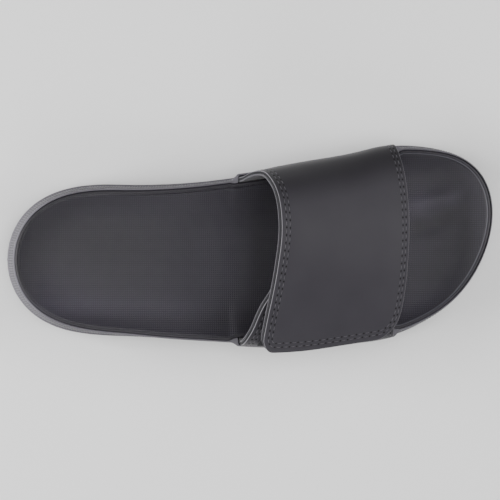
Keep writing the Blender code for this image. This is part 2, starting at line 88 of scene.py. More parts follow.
# along: share of LENGTH from the heel. spread: 0 is the heel's width and 1 the ball's.
# drift: mid line towards the big toe, share of BALL_WIDTH.
PLAN = (
    # along, spread, drift
    (0.000, 0.00, 0.000),
    (0.180, 0.00, -0.001),
    (0.295, 0.04, -0.008),
    (0.400, 0.18, -0.008),
    (0.460, 0.31, -0.004),
    (0.560, 0.55, 0.011),
    (0.667, 0.79, 0.039),
    (0.790, 1.00, 0.094),
    (0.874, 1.00, 0.138),
    (0.954, 1.00, 0.198),
    (1.000, 1.00, 0.239),
)
HEIGHTS = (
    # along, rim, bed
    (0.000, HEEL_RIM, HEEL_BED),
    (0.140, HEEL_RIM, HEEL_BED),
    (0.420, ARCH_RIM, 0.25 * BALL_BED + 0.75 * HEEL_BED),
    (0.650, BALL_RIM, BALL_BED),
    (0.800, BALL_RIM, BALL_BED),
    (0.930, 0.4 * BALL_RIM + 0.6 * TOE_RIM, 0.35 * BALL_BED + 0.65 * TOE_BED),
    (1.000, TOE_RIM, TOE_BED),
)

# %% Curves of the sole
def follow(table, column, at):
    """Cubic Hermite curve through one column of a table. Each slope is that of the parabola
    through a row and its neighbours, so the curve and its direction are unbroken."""
    rows = np.array(table, float)
    stations, values = rows[:, 0], rows[:, column]
    slopes = np.gradient(values, stations)
    at = np.clip(at, stations[0], stations[-1])
    k = np.clip(np.searchsorted(stations, at, side="right") - 1, 0, len(stations) - 2)
    step = stations[k + 1] - stations[k]
    t = (at - stations[k]) / step
    start = (1 + 2 * t) * (1 - t) ** 2 * values[k] + t * (1 - t) ** 2 * step * slopes[k]
    end = t**2 * (3 - 2 * t) * values[k + 1] + t**2 * (t - 1) * step * slopes[k + 1]
    return start + end


def eased(value, low, high):
    """0 below low, 1 above high, and 3 t squared minus 2 t cubed between them."""
    t = np.clip((value - low) / (high - low), 0, 1)
    return t * t * (3 - 2 * t)


def mid_line(x):
    """Y of the sole's mid line."""
    return BALL_WIDTH * follow(PLAN, 2, x / LENGTH)


def half_width(x):
    """Half the sole's width: the full width times the root of one minus a power of the
    distance into each round end, which is a squared-off ellipse."""
    spread = follow(PLAN, 1, x / LENGTH)
    full = (HEEL_WIDTH + (BALL_WIDTH - HEEL_WIDTH) * spread) / 2
    heel = np.clip(1 - x / HEEL_ROUND, 0, 1) ** HEEL_FULLNESS
    toe = np.clip((x - LENGTH + TOE_ROUND) / TOE_ROUND, 0, 1) ** TOE_FULLNESS
    return full * np.sqrt((1 - heel) * (1 - toe))


def rim_height(x):
    """Height of the side wall's top."""
    return follow(HEIGHTS, 1, x / LENGTH)


def bed_height(x):
    """Height of the footbed along its mid line."""
    return follow(HEIGHTS, 2, x / LENGTH)


def shelf_height(x):
    """Height of the midsole's shelf under the footbed."""
    return bed_height(x) - FOOTBED_THICKNESS - GAP


def bottom_height(x):
    """Underside: a bevelled heel, a flat, a sine-squared arch, a flat and the toe spring."""
    heel = HEEL_BEVEL * (1 - eased(x, 0, HEEL_BEVEL_LENGTH))
    arch_share = np.clip((x / LENGTH - ARCH_START) / (ARCH_END - ARCH_START), 0, 1)
    arch = ARCH_RISE * np.sin(np.pi * arch_share) ** 2
    toe_share = np.clip((x / LENGTH - SPRING_START) / (1 - SPRING_START), 0, 1)
    return heel + arch + TOE_SPRING * toe_share**SPRING_POWER


def outline_at(angle):
    """Edge of the sole. The angle runs from the heel by the big-toe side to the toe and back,
    and x goes as one minus its cosine, so that points crowd at both round ends."""
    x = LENGTH * (1 - np.cos(angle)) / 2
    side = np.where(np.sin(angle) >= 0, 1.0, -1.0)
    return np.stack([x, mid_line(x) + side * half_width(x)], axis=-1)


OUTLINE_STEPS = 8001
outsole_low, outsole_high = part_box("outsole")
whole_edge = outline_at(np.linspace(0, 2 * np.pi, OUTLINE_STEPS // 2 + 1))
middle = (whole_edge.min(axis=0) + whole_edge.max(axis=0)) / 2
SHIFT = np.array([
    (outsole_low.x + outsole_high.x) / 2 - middle[0],
    (outsole_low.y + outsole_high.y) / 2 - middle[1],
    outsole_low.z,
])
print("the heel's back is at", (SHIFT * 1000).round(2), "mm")

# %% [markdown]
# ## Small tools
# A few helpers carry the rest: they put computed points and faces into a mesh, close rings of
# points into a solid, and add shader nodes. Blender's operators could make these shapes by
# hand, but arrays keep every edge on the same curves as the solids.

# %% Meshes from arrays
SHARP_ANGLE = np.radians(42)
pieces = {}


def make_piece(name, points, quads, triangles, material, **attributes):
    """A mesh from arrays of points and faces, turned so that its volume is positive, and
    smooth but for its sharp edges. attributes hold one number for each point."""
    corners = points[quads[:, [0, 1, 2, 0, 2, 3]].reshape(-1, 3)]
    if len(triangles):
        corners = np.concatenate([corners, points[triangles]])
    if np.linalg.det(corners - points.mean(axis=0)).sum() < 0:
        quads, triangles = quads[:, ::-1], triangles[:, ::-1]
    mesh = bpy.data.meshes.new(name)
    sizes = np.repeat([4, 3], [len(quads), len(triangles)])
    loops = np.concatenate([quads.ravel(), triangles.ravel()]).astype(np.int32)
    mesh.vertices.add(len(points))
    mesh.vertices.foreach_set("co", (points + SHIFT).astype(np.float32).ravel())
    mesh.loops.add(len(loops))
    mesh.loops.foreach_set("vertex_index", loops)
    mesh.polygons.add(len(sizes))
    starts = (np.cumsum(sizes) - sizes).astype(np.int32)
    mesh.polygons.foreach_set("loop_start", starts)
    for label, values in attributes.items():
        layer = mesh.attributes.new(label, "FLOAT", "POINT")
        layer.data.foreach_set("value", np.asarray(values, np.float32).ravel())
    mesh.update(calc_edges=True)
    mesh.validate()
    mesh.shade_smooth()
    mesh.set_sharp_from_angle(angle=SHARP_ANGLE)
    made = bpy.data.objects.new(name, mesh)
    bpy.context.collection.objects.link(made)
    mesh.materials.append(material)
    pieces[name] = made
    print(name, len(points), "points,", int((sizes - 2).sum()), "triangles")


def closed_rings(rings):
    """Faces of a solid through closed rings of points. Neighbours make the sides, and a strip
    from each place to its mirror place closes the first and the last ring."""
    rows, count = rings.shape[:2]
    index = np.arange(rows * count).reshape(rows, count)
    after = np.roll(index, -1, axis=1)
    sides = np.stack([index[:-1], after[:-1], after[1:], index[1:]], axis=-1).reshape(-1, 4)
    near = np.arange(1, count // 2 - 1)
    quads, triangles = [sides], []
    for row, order in ((0, -1), (rows - 1, 1)):
        start = row * count
        strip = np.stack([near, near + 1, count - near - 1, count - near], axis=-1) + start
        half = count // 2
        ends = np.array([[0, 1, count - 1], [half - 1, half, half + 1]]) + start
        quads.append(strip[:, ::order])
        triangles.append(ends[:, ::order])
    return np.concatenate(quads), np.concatenate(triangles)


def slab(top, bottom):
    """A closed ring for each row of a sheet: over its top, down its front wall, back under its
    bottom and up its rear wall. Each wall has one more point halfway up."""
    half = 0.5 * (top + bottom)
    return np.concatenate([half[:, :1], top, half[:, -1:], bottom[:, ::-1]], axis=1)


def lofted(name, rings, material, **attributes):
    """The solid through closed rings, as a piece."""
    rings = np.asarray(rings)
    quads, triangles = closed_rings(rings)
    make_piece(name, rings.reshape(-1, 3), quads, triangles, material, **attributes)


# %% Shader nodes and colours
def linear(code):
    """The linear colour of an sRGB hex code: each channel to the power law of that standard."""
    values = np.array([int(code[i : i + 2], 16) for i in (1, 3, 5)]) / 255
    low, high = values / 12.92, ((values + 0.055) / 1.055) ** 2.4
    return (*np.where(values <= 0.04045, low, high), 1.0)


def add(tree, kind, inputs=None, **settings):
    """One node. settings are its properties, and inputs gives each socket a value or a link."""
    made = tree.nodes.new("ShaderNode" + kind)
    for name, value in settings.items():
        setattr(made, name, value)
    for socket, value in (inputs or {}).items():
        if isinstance(value, bpy.types.NodeSocket):
            tree.links.new(value, made.inputs[socket])
        else:
            made.inputs[socket].default_value = value
    return made


def new_material(name, **sockets):
    """A Principled material with its sockets set, and its node tree and shader."""
    material = bpy.data.materials.new(name)
    material.use_nodes = True
    shader = material.node_tree.nodes["Principled BSDF"]
    for socket, value in sockets.items():
        shader.inputs[socket.replace("_", " ")].default_value = value
    return material, material.node_tree, shader


def wire(tree, shader, **sources):
    """Links into the shader's sockets."""
    for socket, source in sources.items():
        tree.links.new(source, shader.inputs[socket.replace("_", " ")])


def attribute(tree, name):
    """A number that the mesh carries at each point."""
    return add(tree, "Attribute", attribute_name=name).outputs["Fac"]


def noise(tree, place, scale, detail, **more):
    """Cloudy noise from 0 to 1, with scale spots to the metre."""
    inputs = {"Vector": place, "Scale": scale, "Detail": detail, **more}
    return add(tree, "TexNoise", inputs).outputs["Fac"]


def blend(tree, factor, first, second):
    """A colour between two. Each is a link, a hex code or a linear colour."""
    first, second = (linear(c) if isinstance(c, str) else c for c in (first, second))
    inputs = {"Factor": factor, "A": first, "B": second}
    return add(tree, "Mix", inputs, data_type="RGBA").outputs["Result"]


def times(tree, first, second):
    """The product of two numbers."""
    return add(tree, "Math", {0: first, 1: second}, operation="MULTIPLY").outputs[0]


def scaled(tree, colour, gain):
    """A colour times a number."""
    return add(tree, "VectorMath", {0: colour, "Scale": gain}, operation="SCALE").outputs[0]


def ranged(tree, value, span, start=0.0, end=1.0):
    """A number taken evenly from start..end to the two ends of span, and held there."""
    inputs = {"Value": value, "From Min": start, "From Max": end, "To Min": span[0],
              "To Max": span[1]}
    return add(tree, "MapRange", inputs).outputs["Result"]


def bumped(tree, height, depth, **more):
    """The normal of a face raised by height times depth."""
    inputs = {"Height": height, "Distance": depth, **more}
    return add(tree, "Bump", inputs).outputs["Normal"]


# %% [markdown]
# ## Materials
# The photograph is all one dark anthracite, so the finishes tell the pieces apart: the
# leather is smooth with a faint grain, the footbed is embossed, the side wall is matte, the
# lining is brushed and the tread is dull. Each pattern is as large as the real one.

# %% Synthetic leather
MM = 0.001
LEATHER_DARK = "#333136"
LEATHER_LIGHT = "#3A383D"
# Pale edge colour: partly the cut edge's own paler tone, partly a painted edge highlight.
LEATHER_EDGE_AND_HIGHLIGHT = "#767479"
LEATHER_BLOTCHES = 45.0
LEATHER_ROUGHNESS = (0.43, 0.53)
LEATHER_GRAIN = 0.55 * MM
LEATHER_GRAIN_DEPTH = 0.030 * MM


def synthetic_leather():
    """Polyurethane film on microfibre, cast on release paper and embossed. It gives the eye a
    smooth, slightly satin face with a pebble grain, and a pale edge where it is cut, partly its
    own paler tone and partly a painted edge highlight. Its steep big-toe side is darkened with
    painted shade."""
    material, tree, shader = new_material(
        "polyurethane_synthetic_leather", IOR=1.48, Specular_IOR_Level=0.18,
        Sheen_Weight=0.03, Sheen_Roughness=0.5,
    )
    place = add(tree, "TexCoord").outputs["Object"]
    blotch = noise(tree, place, LEATHER_BLOTCHES, 3.0)
    tint = blend(tree, blotch, LEATHER_DARK, LEATHER_LIGHT)
    # The shade attribute multiplies the colour: painted shade on the steep big-toe side.
    shaded_skin = scaled(tree, tint, attribute(tree, "shade"))
    # The cut attribute paints the pale edge: partly its own tone, partly a painted edge highlight.
    skin = blend(tree, attribute(tree, "cut"), shaded_skin, LEATHER_EDGE_AND_HIGHLIGHT)
    pebbles = add(tree, "TexVoronoi", {"Vector": place, "Scale": 1 / LEATHER_GRAIN},
                  feature="SMOOTH_F1")
    bump = bumped(tree, pebbles.outputs["Distance"], LEATHER_GRAIN_DEPTH, Strength=0.6)
    uneven = ranged(tree, blotch, LEATHER_ROUGHNESS)
    wire(tree, shader, Base_Color=skin, Roughness=uneven, Normal=bump)
    return material


# %% Strap padding and lining
PADDING_COLOUR = "#1C1C1F"
CELL_SIZE = 0.45 * MM
CELL_DEPTH = 0.15 * MM
LINING_COLOUR = "#504E54"
LINING_SHADE = "#3A383E"
FIBRE_SIZE = 0.35 * MM
FIBRE_DEPTH = 0.25 * MM


def strap_foam():
    """Polyurethane foam, cut with a knife. It gives the eye a dark, open-celled edge."""
    material, tree, shader = new_material(
        "cut_polyurethane_foam", Roughness=0.9, Base_Color=linear(PADDING_COLOUR),
    )
    place = add(tree, "TexCoord").outputs["Object"]
    cells = add(tree, "TexVoronoi", {"Vector": place, "Scale": 1 / CELL_SIZE})
    wire(tree, shader, Normal=bumped(tree, cells.outputs["Distance"], CELL_DEPTH))
    return material


def brushed_lining():
    """Knitted polyester with a brushed face. It gives the eye a soft, paler, fuzzy band."""
    material, tree, shader = new_material(
        "brushed_polyester_lining", Roughness=0.95, Sheen_Weight=0.2, Sheen_Roughness=0.6,
    )
    place = add(tree, "TexCoord").outputs["Object"]
    fibres = noise(tree, place, 1 / FIBRE_SIZE, 4.0, Roughness=0.7)
    tint = blend(tree, fibres, LINING_SHADE, LINING_COLOUR)
    wire(tree, shader, Base_Color=tint, Normal=bumped(tree, fibres, FIBRE_DEPTH))
    return material


# %% Thread, needle holes and closure tapes
THREAD_COLOUR = "#49474D"
PLY_PITCH = 0.9 * MM
PLY_DEPTH = 0.08 * MM


def bonded_thread():
    """Bonded polyester thread, twisted from plies. It gives the eye short pale dashes."""
    material, tree, shader = new_material(
        "bonded_polyester_thread", Roughness=0.55, Base_Color=linear(THREAD_COLOUR),
    )
    place = add(tree, "TexCoord").outputs["Object"]
    plies = add(tree, "TexWave", {"Vector": place, "Scale": 0.3 / PLY_PITCH},
                bands_direction="DIAGONAL")
    wire(tree, shader, Normal=bumped(tree, plies.outputs["Fac"], PLY_DEPTH))
    return material


def plain_dark(name, code, roughness, grain):
    """A dull dark finish with a fine uneven face. A needle leaves it as a shadowed hole, and
    weaving as a tape's hooks or loops. It gives the eye a near-black spot or band."""
    material, tree, shader = new_material(name, Roughness=roughness, Base_Color=linear(code))
    place = add(tree, "TexCoord").outputs["Object"]
    rough = noise(tree, place, 1 / grain, 3.0)
    wire(tree, shader, Normal=bumped(tree, rough, grain / 2))
    return material


# %% Footbed foam
# Colour of the grid's grooves, darkened with painted shade.
BED_GROOVE_SHADE = "#1B181F"
BED_LIGHT = "#302D36"
BED_RIM = "#2A272E"
# A painted highlight along the bead in the forefoot.
BEAD_HIGHLIGHT = "#57565D"
GRID_PITCH_ALONG = 1.24 * MM
GRID_PITCH_ACROSS = 1.27 * MM
GRID_DEPTH = 0.16 * MM
BED_GRAINS = 900.0
BED_GRAIN_DEPTH = 0.02 * MM
# Height share from which a square is as pale as its top. Below it the grid's grooves are painted
# darker, as painted shade.
SQUARE_TOP = 0.8
# The amounts of painted light and shade that count, and what they multiply the colour by.
PAINTED_RANGE = (-1.0, 2.0)
PAINTED_GAIN = (0.6, 1.8)


def embossed_foam():
    """Ethylene-vinyl acetate foam, pressed in a mould whose face is cut with a fine square grid.
    It gives the eye a mat of tiny raised squares, and a plain smooth rim. The grid's grooves are
    painted darker as painted shade, the bead carries a painted highlight, and patches of painted
    light and shade lie over the bed and the heel's rim."""
    material, tree, shader = new_material("embossed_eva_foam", Roughness=0.52, IOR=1.49)
    place = add(tree, "TexCoord").outputs["Object"]
    axes = add(tree, "SeparateXYZ", {"Vector": place})
    ridges = []
    for axis, pitch in (("X", GRID_PITCH_ALONG), ("Y", GRID_PITCH_ACROSS)):
        phase = times(tree, axes.outputs[axis], np.pi / pitch)
        wave = add(tree, "Math", {0: phase}, operation="SINE")
        ridges.append(add(tree, "Math", {0: wave.outputs[0]}, operation="ABSOLUTE"))
    squares = add(tree, "Math", {0: ridges[0].outputs[0], 1: ridges[1].outputs[0]},
                  operation="MINIMUM").outputs[0]
    field = attribute(tree, "field")
    fine = bumped(tree, noise(tree, place, BED_GRAINS, 2.0), BED_GRAIN_DEPTH)
    bump = bumped(tree, times(tree, squares, field), GRID_DEPTH, Normal=fine)
    # Painted shade: the grid's grooves are darker than the squares' tops.
    tint = blend(tree, ranged(tree, squares, (0, 1), end=SQUARE_TOP), BED_GROOVE_SHADE, BED_LIGHT)
    gridded = blend(tree, field, BED_RIM, tint)
    # Painted light and shade: the patches, less the rim's painted shade at the heel, multiply the
    # colour.
    gain = ranged(tree, attribute(tree, "worn"), PAINTED_GAIN, *PAINTED_RANGE)
    painted_light_tint = scaled(tree, gridded, gain)
    # The bead is painted pale: a painted highlight.
    bead_lit = blend(tree, attribute(tree, "bead"), painted_light_tint, BEAD_HIGHLIGHT)
    wire(tree, shader, Base_Color=bead_lit, Normal=bump)
    return material


# %% Side wall foam and tread rubber
# The wall is paler than the other foams: partly its own tone, partly painted light on its steep
# sides.
WALL_TONE_AND_LIGHT = "#5E5C62"
TREAD_COLOUR = "#312F34"
CLOUDS = 30.0
CLOUD_GAIN = 1.12
# Painted shade in the rib valleys: the colour's gain from a rib's crest to its valley.
VALLEY_SHADE_GAIN = (1.1, 0.45)
# The colour's gain away from the heel and at its end: painted light at the heel.
HEEL_LIGHT_GAIN = (0.82, 1.12)


def moulded_finish(name, code, roughness, grain_size, grain_depth):
    """Foam or rubber from a spark-eroded mould. It gives the eye a matte, faintly sandy face, with
    painted shade between the ribs and painted light at the heel's end."""
    material, tree, shader = new_material(name, Roughness=roughness, Specular_IOR_Level=0.25)
    place = add(tree, "TexCoord").outputs["Object"]
    grain = noise(tree, place, 1 / grain_size, 3.0)
    paler = [channel * CLOUD_GAIN for channel in linear(code)[:3]] + [1.0]
    tint = blend(tree, noise(tree, place, CLOUDS, 2.0), code, paler)
    # Painted shade between the ribs.
    shaded = ranged(tree, attribute(tree, "valley"), VALLEY_SHADE_GAIN)
    # Painted light: the heel's end of the wall is made paler than its sides.
    scuffed = ranged(tree, attribute(tree, "scuff"), HEEL_LIGHT_GAIN)
    ribbed = scaled(tree, tint, times(tree, shaded, scuffed))
    wire(tree, shader, Base_Color=ribbed, Normal=bumped(tree, grain, grain_depth))
    return material


leather = synthetic_leather()
foam = strap_foam()
lining = brushed_lining()
thread = bonded_thread()
hole_shade = plain_dark("needle_hole_shadow", "#070708", 0.95, 0.3 * MM)
hook_tape = plain_dark("nylon_hook_tape", "#151517", 0.6, 0.8 * MM)
loop_tape = plain_dark("nylon_loop_tape", "#212124", 0.95, 0.4 * MM)
bed_foam = embossed_foam()
wall_foam = moulded_finish("moulded_eva_foam_wall", WALL_TONE_AND_LIGHT, 0.55, 0.4 * MM, 0.03 * MM)
tread_rubber = moulded_finish("moulded_rubber_tread", TREAD_COLOUR, 0.7, 0.5 * MM, 0.05 * MM)
print("materials:", len(bpy.data.materials))

# %% [markdown]
# ## The side wall
# The carrier under the footbed is one foam moulding. A bumper runs round its foot, the wall
# above it is cut with fine upright ribs, and a thin lip stands against the footbed. On the
# big-toe side and the outer side the wall swells into an ear that holds the strap's end.
# A bump map would do for the ribs from far away, but they show at the heel's edge, so they
# are real: each rib has a few points round the outline.

# %% Places round the outline
# The real ribs are about 1 mm apart. They are drawn coarser, so that they show in the render.
RIB_PITCH = 1.6 * MM
POINTS_PER_RIB = 6
RIB_DEPTH = 0.32 * MM
# The heel's end of the wall is painted paler, as painted light, fading out between these two
# places.
HEEL_LIGHT_SPAN = (0.002, 0.036)
SPINE_START = 0.11
SPINE_END = 0.88
SMALL_ANGLE = 1e-4


def edge_frame(count):
    """Places round the outline at equal steps of its length, with the outward direction at
    each, found from the difference of two near places turned a quarter. Also the line that
    the bed's rings shrink to, and the outline's whole length."""
    angles = np.linspace(0, 2 * np.pi, OUTLINE_STEPS)
    run = np.linalg.norm(np.diff(outline_at(angles), axis=0), axis=1).cumsum()
    run = np.concatenate([[0], run])
    half = np.interp(np.linspace(0, np.interp(np.pi, angles, run), count // 2 + 1), run, angles)
    places = np.concatenate([half, 2 * np.pi - half[-2:0:-1]])
    edge = outline_at(places)
    tangent = outline_at(places + SMALL_ANGLE) - outline_at(places - SMALL_ANGLE)
    tangent /= np.linalg.norm(tangent, axis=1, keepdims=True)
    outward = np.stack([-tangent[:, 1], tangent[:, 0]], axis=1)
    spine_x = SPINE_START * LENGTH + (SPINE_END - SPINE_START) * edge[:, 0]
    spine = np.stack([spine_x, mid_line(spine_x)], axis=1)
    return places, edge, outward, spine, run[-1]


def ring(plan, height):
    """A ring of points at the plan's places, at one height or one for each place."""
    return np.column_stack([plan, np.broadcast_to(height, len(plan))])


# %% The wall's own sizes, and the strap's slot in it
LIP = 0.0010
LIP_THINNING = 0.0004
EAR_BULGE = 0.0017
EAR_LENGTH = 0.030
EAR_RISE = 0.0065
EAR_LEAD = 0.0005
EAR_STOP = 0.0150
SIDE_RECESS = 0.0007
BUMPER_HEIGHT = 0.0050
COLLAR_HEIGHT = 0.0050
TOE_BUMPER = 0.0006
FOOT_ROUND = 0.0010
STEP_ROUND = 0.0006
LIP_ROUND = 0.0005
BED_EASE = 0.007
COLLAR_LEAN = 0.55
STRAP_WALL = 0.0031
BASE_REAR = 0.1345
BASE_FRONT = 0.2250
SLOT_PLAY = 0.0006
SLOT_SLANT = 0.0024
SLOT_STEP = 0.0010
SLOT_END = 0.0004
SHOULDER = 0.0055
# Share of the ribs' depth that is lost on the ears.
EAR_PLAIN = 0.75

# across: inset, and up: height above the wall's foot, as shares of FOOT_ROUND.
FOOT_PROFILE = (
    # across, up
    (1.00, 0.00),
    (0.45, 0.25),
    (0.12, 0.70),
    (0.00, 1.40),
)
# Shares of the ribbed field's height, and of the collar's with the ribs' depth there.
FIELD_ROWS = (0.04, 0.10, 0.30, 0.50, 0.70, 0.90, 0.96)
COLLAR_ROWS = (
    # share, ribbed
    (0.05, 1.0),
    (0.35, 1.0),
    (0.65, 1.0),
    (0.85, 0.5),
)
# across: further in than the crest, and up: above the wall's top, as shares of LIP_ROUND.
LIP_PROFILE = (
    # across, up
    (0.0, -1.0),
    (0.2, -0.3),
    (0.7, 0.0),
)
# Inset of the side wall's top from its widest place. along: share of LENGTH from the heel.
# inner: on the big-toe side, in metres. outer: on the other side.
WALL_LEAN = (
    # along, inner, outer
    (0.00, 0.0036, 0.0036),
    (0.10, 0.0037, 0.0036),
    (0.23, 0.0037, 0.0025),
    (0.31, 0.0033, 0.0013),
    (0.48, 0.0027, 0.0013),
    (0.72, 0.0030, 0.0030),
    (0.85, 0.0030, 0.0031),
    (0.93, 0.0023, 0.0019),
    (1.00, 0.0021, 0.0021),
)


def wall_lean(angle):
    """How far the side wall leans in from its widest place to its top."""
    along = (1 - np.cos(angle)) / 2
    inner, outer = follow(WALL_LEAN, 1, along), follow(WALL_LEAN, 2, along)
    return np.where(np.sin(angle) >= 0, inner, outer)


def ear_bulge(x):
    """How far the wall swells round the strap's base: quickly at its rear, then fading."""
    full = BASE_REAR - EAR_LEAD
    rise = eased(x, full - EAR_RISE, full)
    return EAR_BULGE * rise * (1 - eased(x, BASE_REAR + EAR_LENGTH, BASE_FRONT - EAR_STOP))


def strap_inset(x):
    """Inset from the sole's edge to the strap's outer face, down in its slot."""
    return LIP + SLOT_PLAY - ear_bulge(x)


def slot_share(x, step):
    """1 along the strap's slot and 0 elsewhere, with a step of that length at each end."""
    rear, front = BASE_REAR - SLOT_END, BASE_FRONT + SLOT_END
    return eased(x, rear - step, rear) * (1 - eased(x, front, front + step))


def strap_share(x):
    """1 along the straps, easing to 0 behind and before them."""
    behind = eased(x, BASE_REAR - BED_EASE, BASE_REAR)
    return behind * (1 - eased(x, BASE_FRONT, BASE_FRONT + BED_EASE))


def bed_inset(angle):
    """Inset from the sole's edge to the footbed's side, behind the wall and the strap."""
    x = LENGTH * (1 - np.cos(angle)) / 2
    behind_strap = strap_inset(x) + STRAP_WALL + SLOT_PLAY
    beside_wall = wall_lean(angle) + 0.5 * GAP
    return beside_wall + strap_share(x) * np.maximum(behind_strap - beside_wall, 0)


# %% The carrier with its ribs
def make_wall():
    """Rings up the wall's profile: bumper, step, ribbed field, ribbed collar, lip, slot. A rib
    draws the ring in by half a cosine wave of its pitch, faded at the field's two ends."""
    _, _, _, _, edge_length = edge_frame(POINTS_PER_RIB)
    ribs = int(round(edge_length / RIB_PITCH / 2)) * 2
    places, edge, outward, _, _ = edge_frame(ribs * POINTS_PER_RIB)
    x = edge[:, 0]
    wave = 0.5 - 0.5 * np.cos(2 * np.pi * np.arange(len(x)) / POINTS_PER_RIB)
    toe = TOE_BUMPER * eased(x, LENGTH - TOE_ROUND, LENGTH)
    lean, rim, bulge = wall_lean(places), rim_height(x), ear_bulge(x)
    crest = (lean - LIP) * (1 - slot_share(x, SHOULDER)) - bulge * slot_share(x, SHOULDER)
    slot = slot_share(x, SLOT_STEP)
    inner = (bed_inset(places) - 0.5 * GAP) * (1 - slot) + (LIP - bulge) * slot
    inner = inner - LIP_THINNING * eased(x, LENGTH - TOE_ROUND / 2, LENGTH)
    base = bottom_height(x) + OUTSOLE_THICKNESS + GAP
    foot = base + BUMPER_HEIGHT
    collar = rim - COLLAR_HEIGHT
    recess = SIDE_RECESS * (1 - bulge / EAR_BULGE)
    plain = 1 - EAR_PLAIN * bulge / EAR_BULGE
    rings, valley = [], []

    def put(inset, height, ribbed=0.0):
        drawn_in = inset + RIB_DEPTH * ribbed * wave * plain
        rings.append(ring(edge - outward * drawn_in[:, None], height))
        # Painted shade in each rib's valley.
        valley.append(ribbed * wave * plain)

    for across, up in FOOT_PROFILE:
        put(FOOT_ROUND * across + toe, base + FOOT_ROUND * up)
    put(toe, foot - STEP_ROUND)
    put(0.25 * SIDE_RECESS + toe, foot - 0.2 * STEP_ROUND)
    put(SIDE_RECESS + toe, foot + 0.6 * STEP_ROUND, 0.2)
    top_inset = COLLAR_LEAN * crest + recess
    for share in FIELD_ROWS:
        inset = (SIDE_RECESS + toe) * (1 - share) + top_inset * share
        height = foot + STEP_ROUND + (collar - foot - 2 * STEP_ROUND) * share
        put(inset, height, 1.0)
    put(top_inset, collar - STEP_ROUND, 1.0)
    put(COLLAR_LEAN * crest + 0.3 * recess, collar - 0.2 * STEP_ROUND, 1.0)
    for share, ribbed in COLLAR_ROWS:
        inset = COLLAR_LEAN * crest + (1 - COLLAR_LEAN) * crest * share
        put(inset, collar + (COLLAR_HEIGHT - LIP_ROUND) * share, ribbed)
    for across, up in LIP_PROFILE:
        put(crest + across * LIP_ROUND, rim + up * LIP_ROUND)
    put(inner - 0.3 * LIP_ROUND, rim)
    put(inner, rim - 0.3 * LIP_ROUND)
    put(inner + SLOT_SLANT * slot, shelf_height(x))
    # Painted light at the heel's end of the wall.
    scuff = np.tile(1 - eased(x, *HEEL_LIGHT_SPAN), len(rings))
    lofted("midsole_carrier", rings, wall_foam, valley=np.concatenate(valley), scuff=scuff)


make_wall()

# %% [markdown]
# ## The footbed
# The footbed is a foam insert: a smooth rounded rim, a thin bead inside it, and a bed that
# dips to the heel, swells at the arch and carries low ridges for the toes. It could be
# sculpted, but rings that shrink towards the foot's mid line keep the rim's width even.

# %% Rim profile and relief
RIM_ROUND = 0.0013
RIM_WIDTH = 0.0025
RIM_DROP = 0.20
BEAD = 0.0005
BEAD_RISE = 0.0004
# Share of BEAD that the bed steps down at the heel.
HEEL_STEP = 0.1
# The rim's flat at the heel is darkened by this amount of painted shade, which hides its
# highlight. Of it, a share is lost from the first of these places to the second.
RIM_PAINTED_SHADE = 0.85
RIM_SHADE_LOST = 0.7
RIM_SHADE_FADES = (0.035, 0.085)
HEEL_CUP = 3.2
TOE_CUP = 4.4
BED_ANGLES = 720
BED_RINGS = 54

# across: inset from the footbed's side. up: height above the wall's top. Both are shares of
# RIM_ROUND. The profile rounds over from the side.
RIM_SECTION = (
    # across, up
    (0.00, -0.45),
    (0.05, -0.28),
    (0.15, -0.13),
    (0.30, -0.02),
    (0.50, 0.08),
    (0.75, 0.14),
    (1.00, 0.15),
)
# back: distance out from the rim's inner edge, in beads. ridge and step: shares of the bead's rise
# and of the bed's step. beaded and gridded: how far the bead's painted highlight and the grid go.
BEAD_PROFILE = (
    # back, ridge, step, beaded, gridded
    (2.3, 0.0, 0.0, 0.0, 0.5),
    (1.7, 0.6, 0.0, 0.4, 0.8),
    (1.2, 1.0, 0.0, 0.9, 1.0),
    (0.7, 0.8, -0.2, 1.0, 1.0),
    (0.3, 0.0, -0.6, 0.5, 1.0),
    (0.0, 0.0, -1.0, 0.0, 1.0),
)
# along: share of LENGTH. across: share of BALL_WIDTH from the mid line, towards the big toe.
# reach and breadth: shares of BALL_WIDTH. rise: share of FOOTBED_THICKNESS.
RELIEF = (
    # along, across, reach, breadth, rise
    (0.865, 0.300, 0.150, 0.070, -0.24),
    (0.880, 0.165, 0.150, 0.045, 0.38),
    (0.870, 0.030, 0.110, 0.040, -0.26),
    (0.875, -0.150, 0.090, 0.110, 0.24),
    (0.400, 0.300, 0.350, 0.140, 0.55),
)
# Patches of painted light and shade on the bed: painted highlights and a painted reflection on the
# slopes that face the light and on the toe ridge, and painted shade on the slopes turned away and
# under the strap. The same columns, with an amount that is above 0 where it is paler and below 0
# where it is darker.
PAINTED_PATCHES = (
    # along, across, reach, breadth, amount
    (0.085, -0.130, 0.170, 0.090, 0.70),
    (0.110, -0.240, 0.220, 0.070, 1.10),
    (0.260, -0.235, 0.550, 0.055, 0.90),
    (0.190, 0.100, 0.480, 0.230, -0.85),
    (0.430, 0.000, 0.200, 0.350, 0.50),
    (0.850, 0.165, 0.095, 0.060, 2.40),
    (0.917, 0.150, 0.055, 0.040, 1.10),
    (0.966, 0.060, 0.045, 0.150, 0.40),
    (0.905, 0.055, 0.060, 0.040, -0.80),
    (0.850, 0.050, 0.055, 0.035, -0.80),
    (0.945, -0.100, 0.045, 0.180, -0.50),
    (0.860, -0.200, 0.120, 0.090, -0.30),
    (0.860, -0.360, 0.170, 0.075, 1.00),
    (0.455, -0.270, 0.120, 0.120, -0.90),
    (0.520, 0.060, 0.100, 0.330, -0.90),
    (0.900, -0.060, 0.160, 0.300, -0.35),
)


def mounds(table, plan):
    """A sum of Gaussian mounds from a table: toe ridges, hollows and arch, or patches of painted
    light and shade.
    """
    total = np.zeros(len(plan))
    for along, across, reach, breadth, amount in table:
        far = (plan[:, 0] - along * LENGTH) / (reach * BALL_WIDTH)
        wide = plan[:, 1] - mid_line(plan[:, 0]) - across * BALL_WIDTH
        total += amount * np.exp(-(far**2) - (wide / (breadth * BALL_WIDTH)) ** 2)
    return total


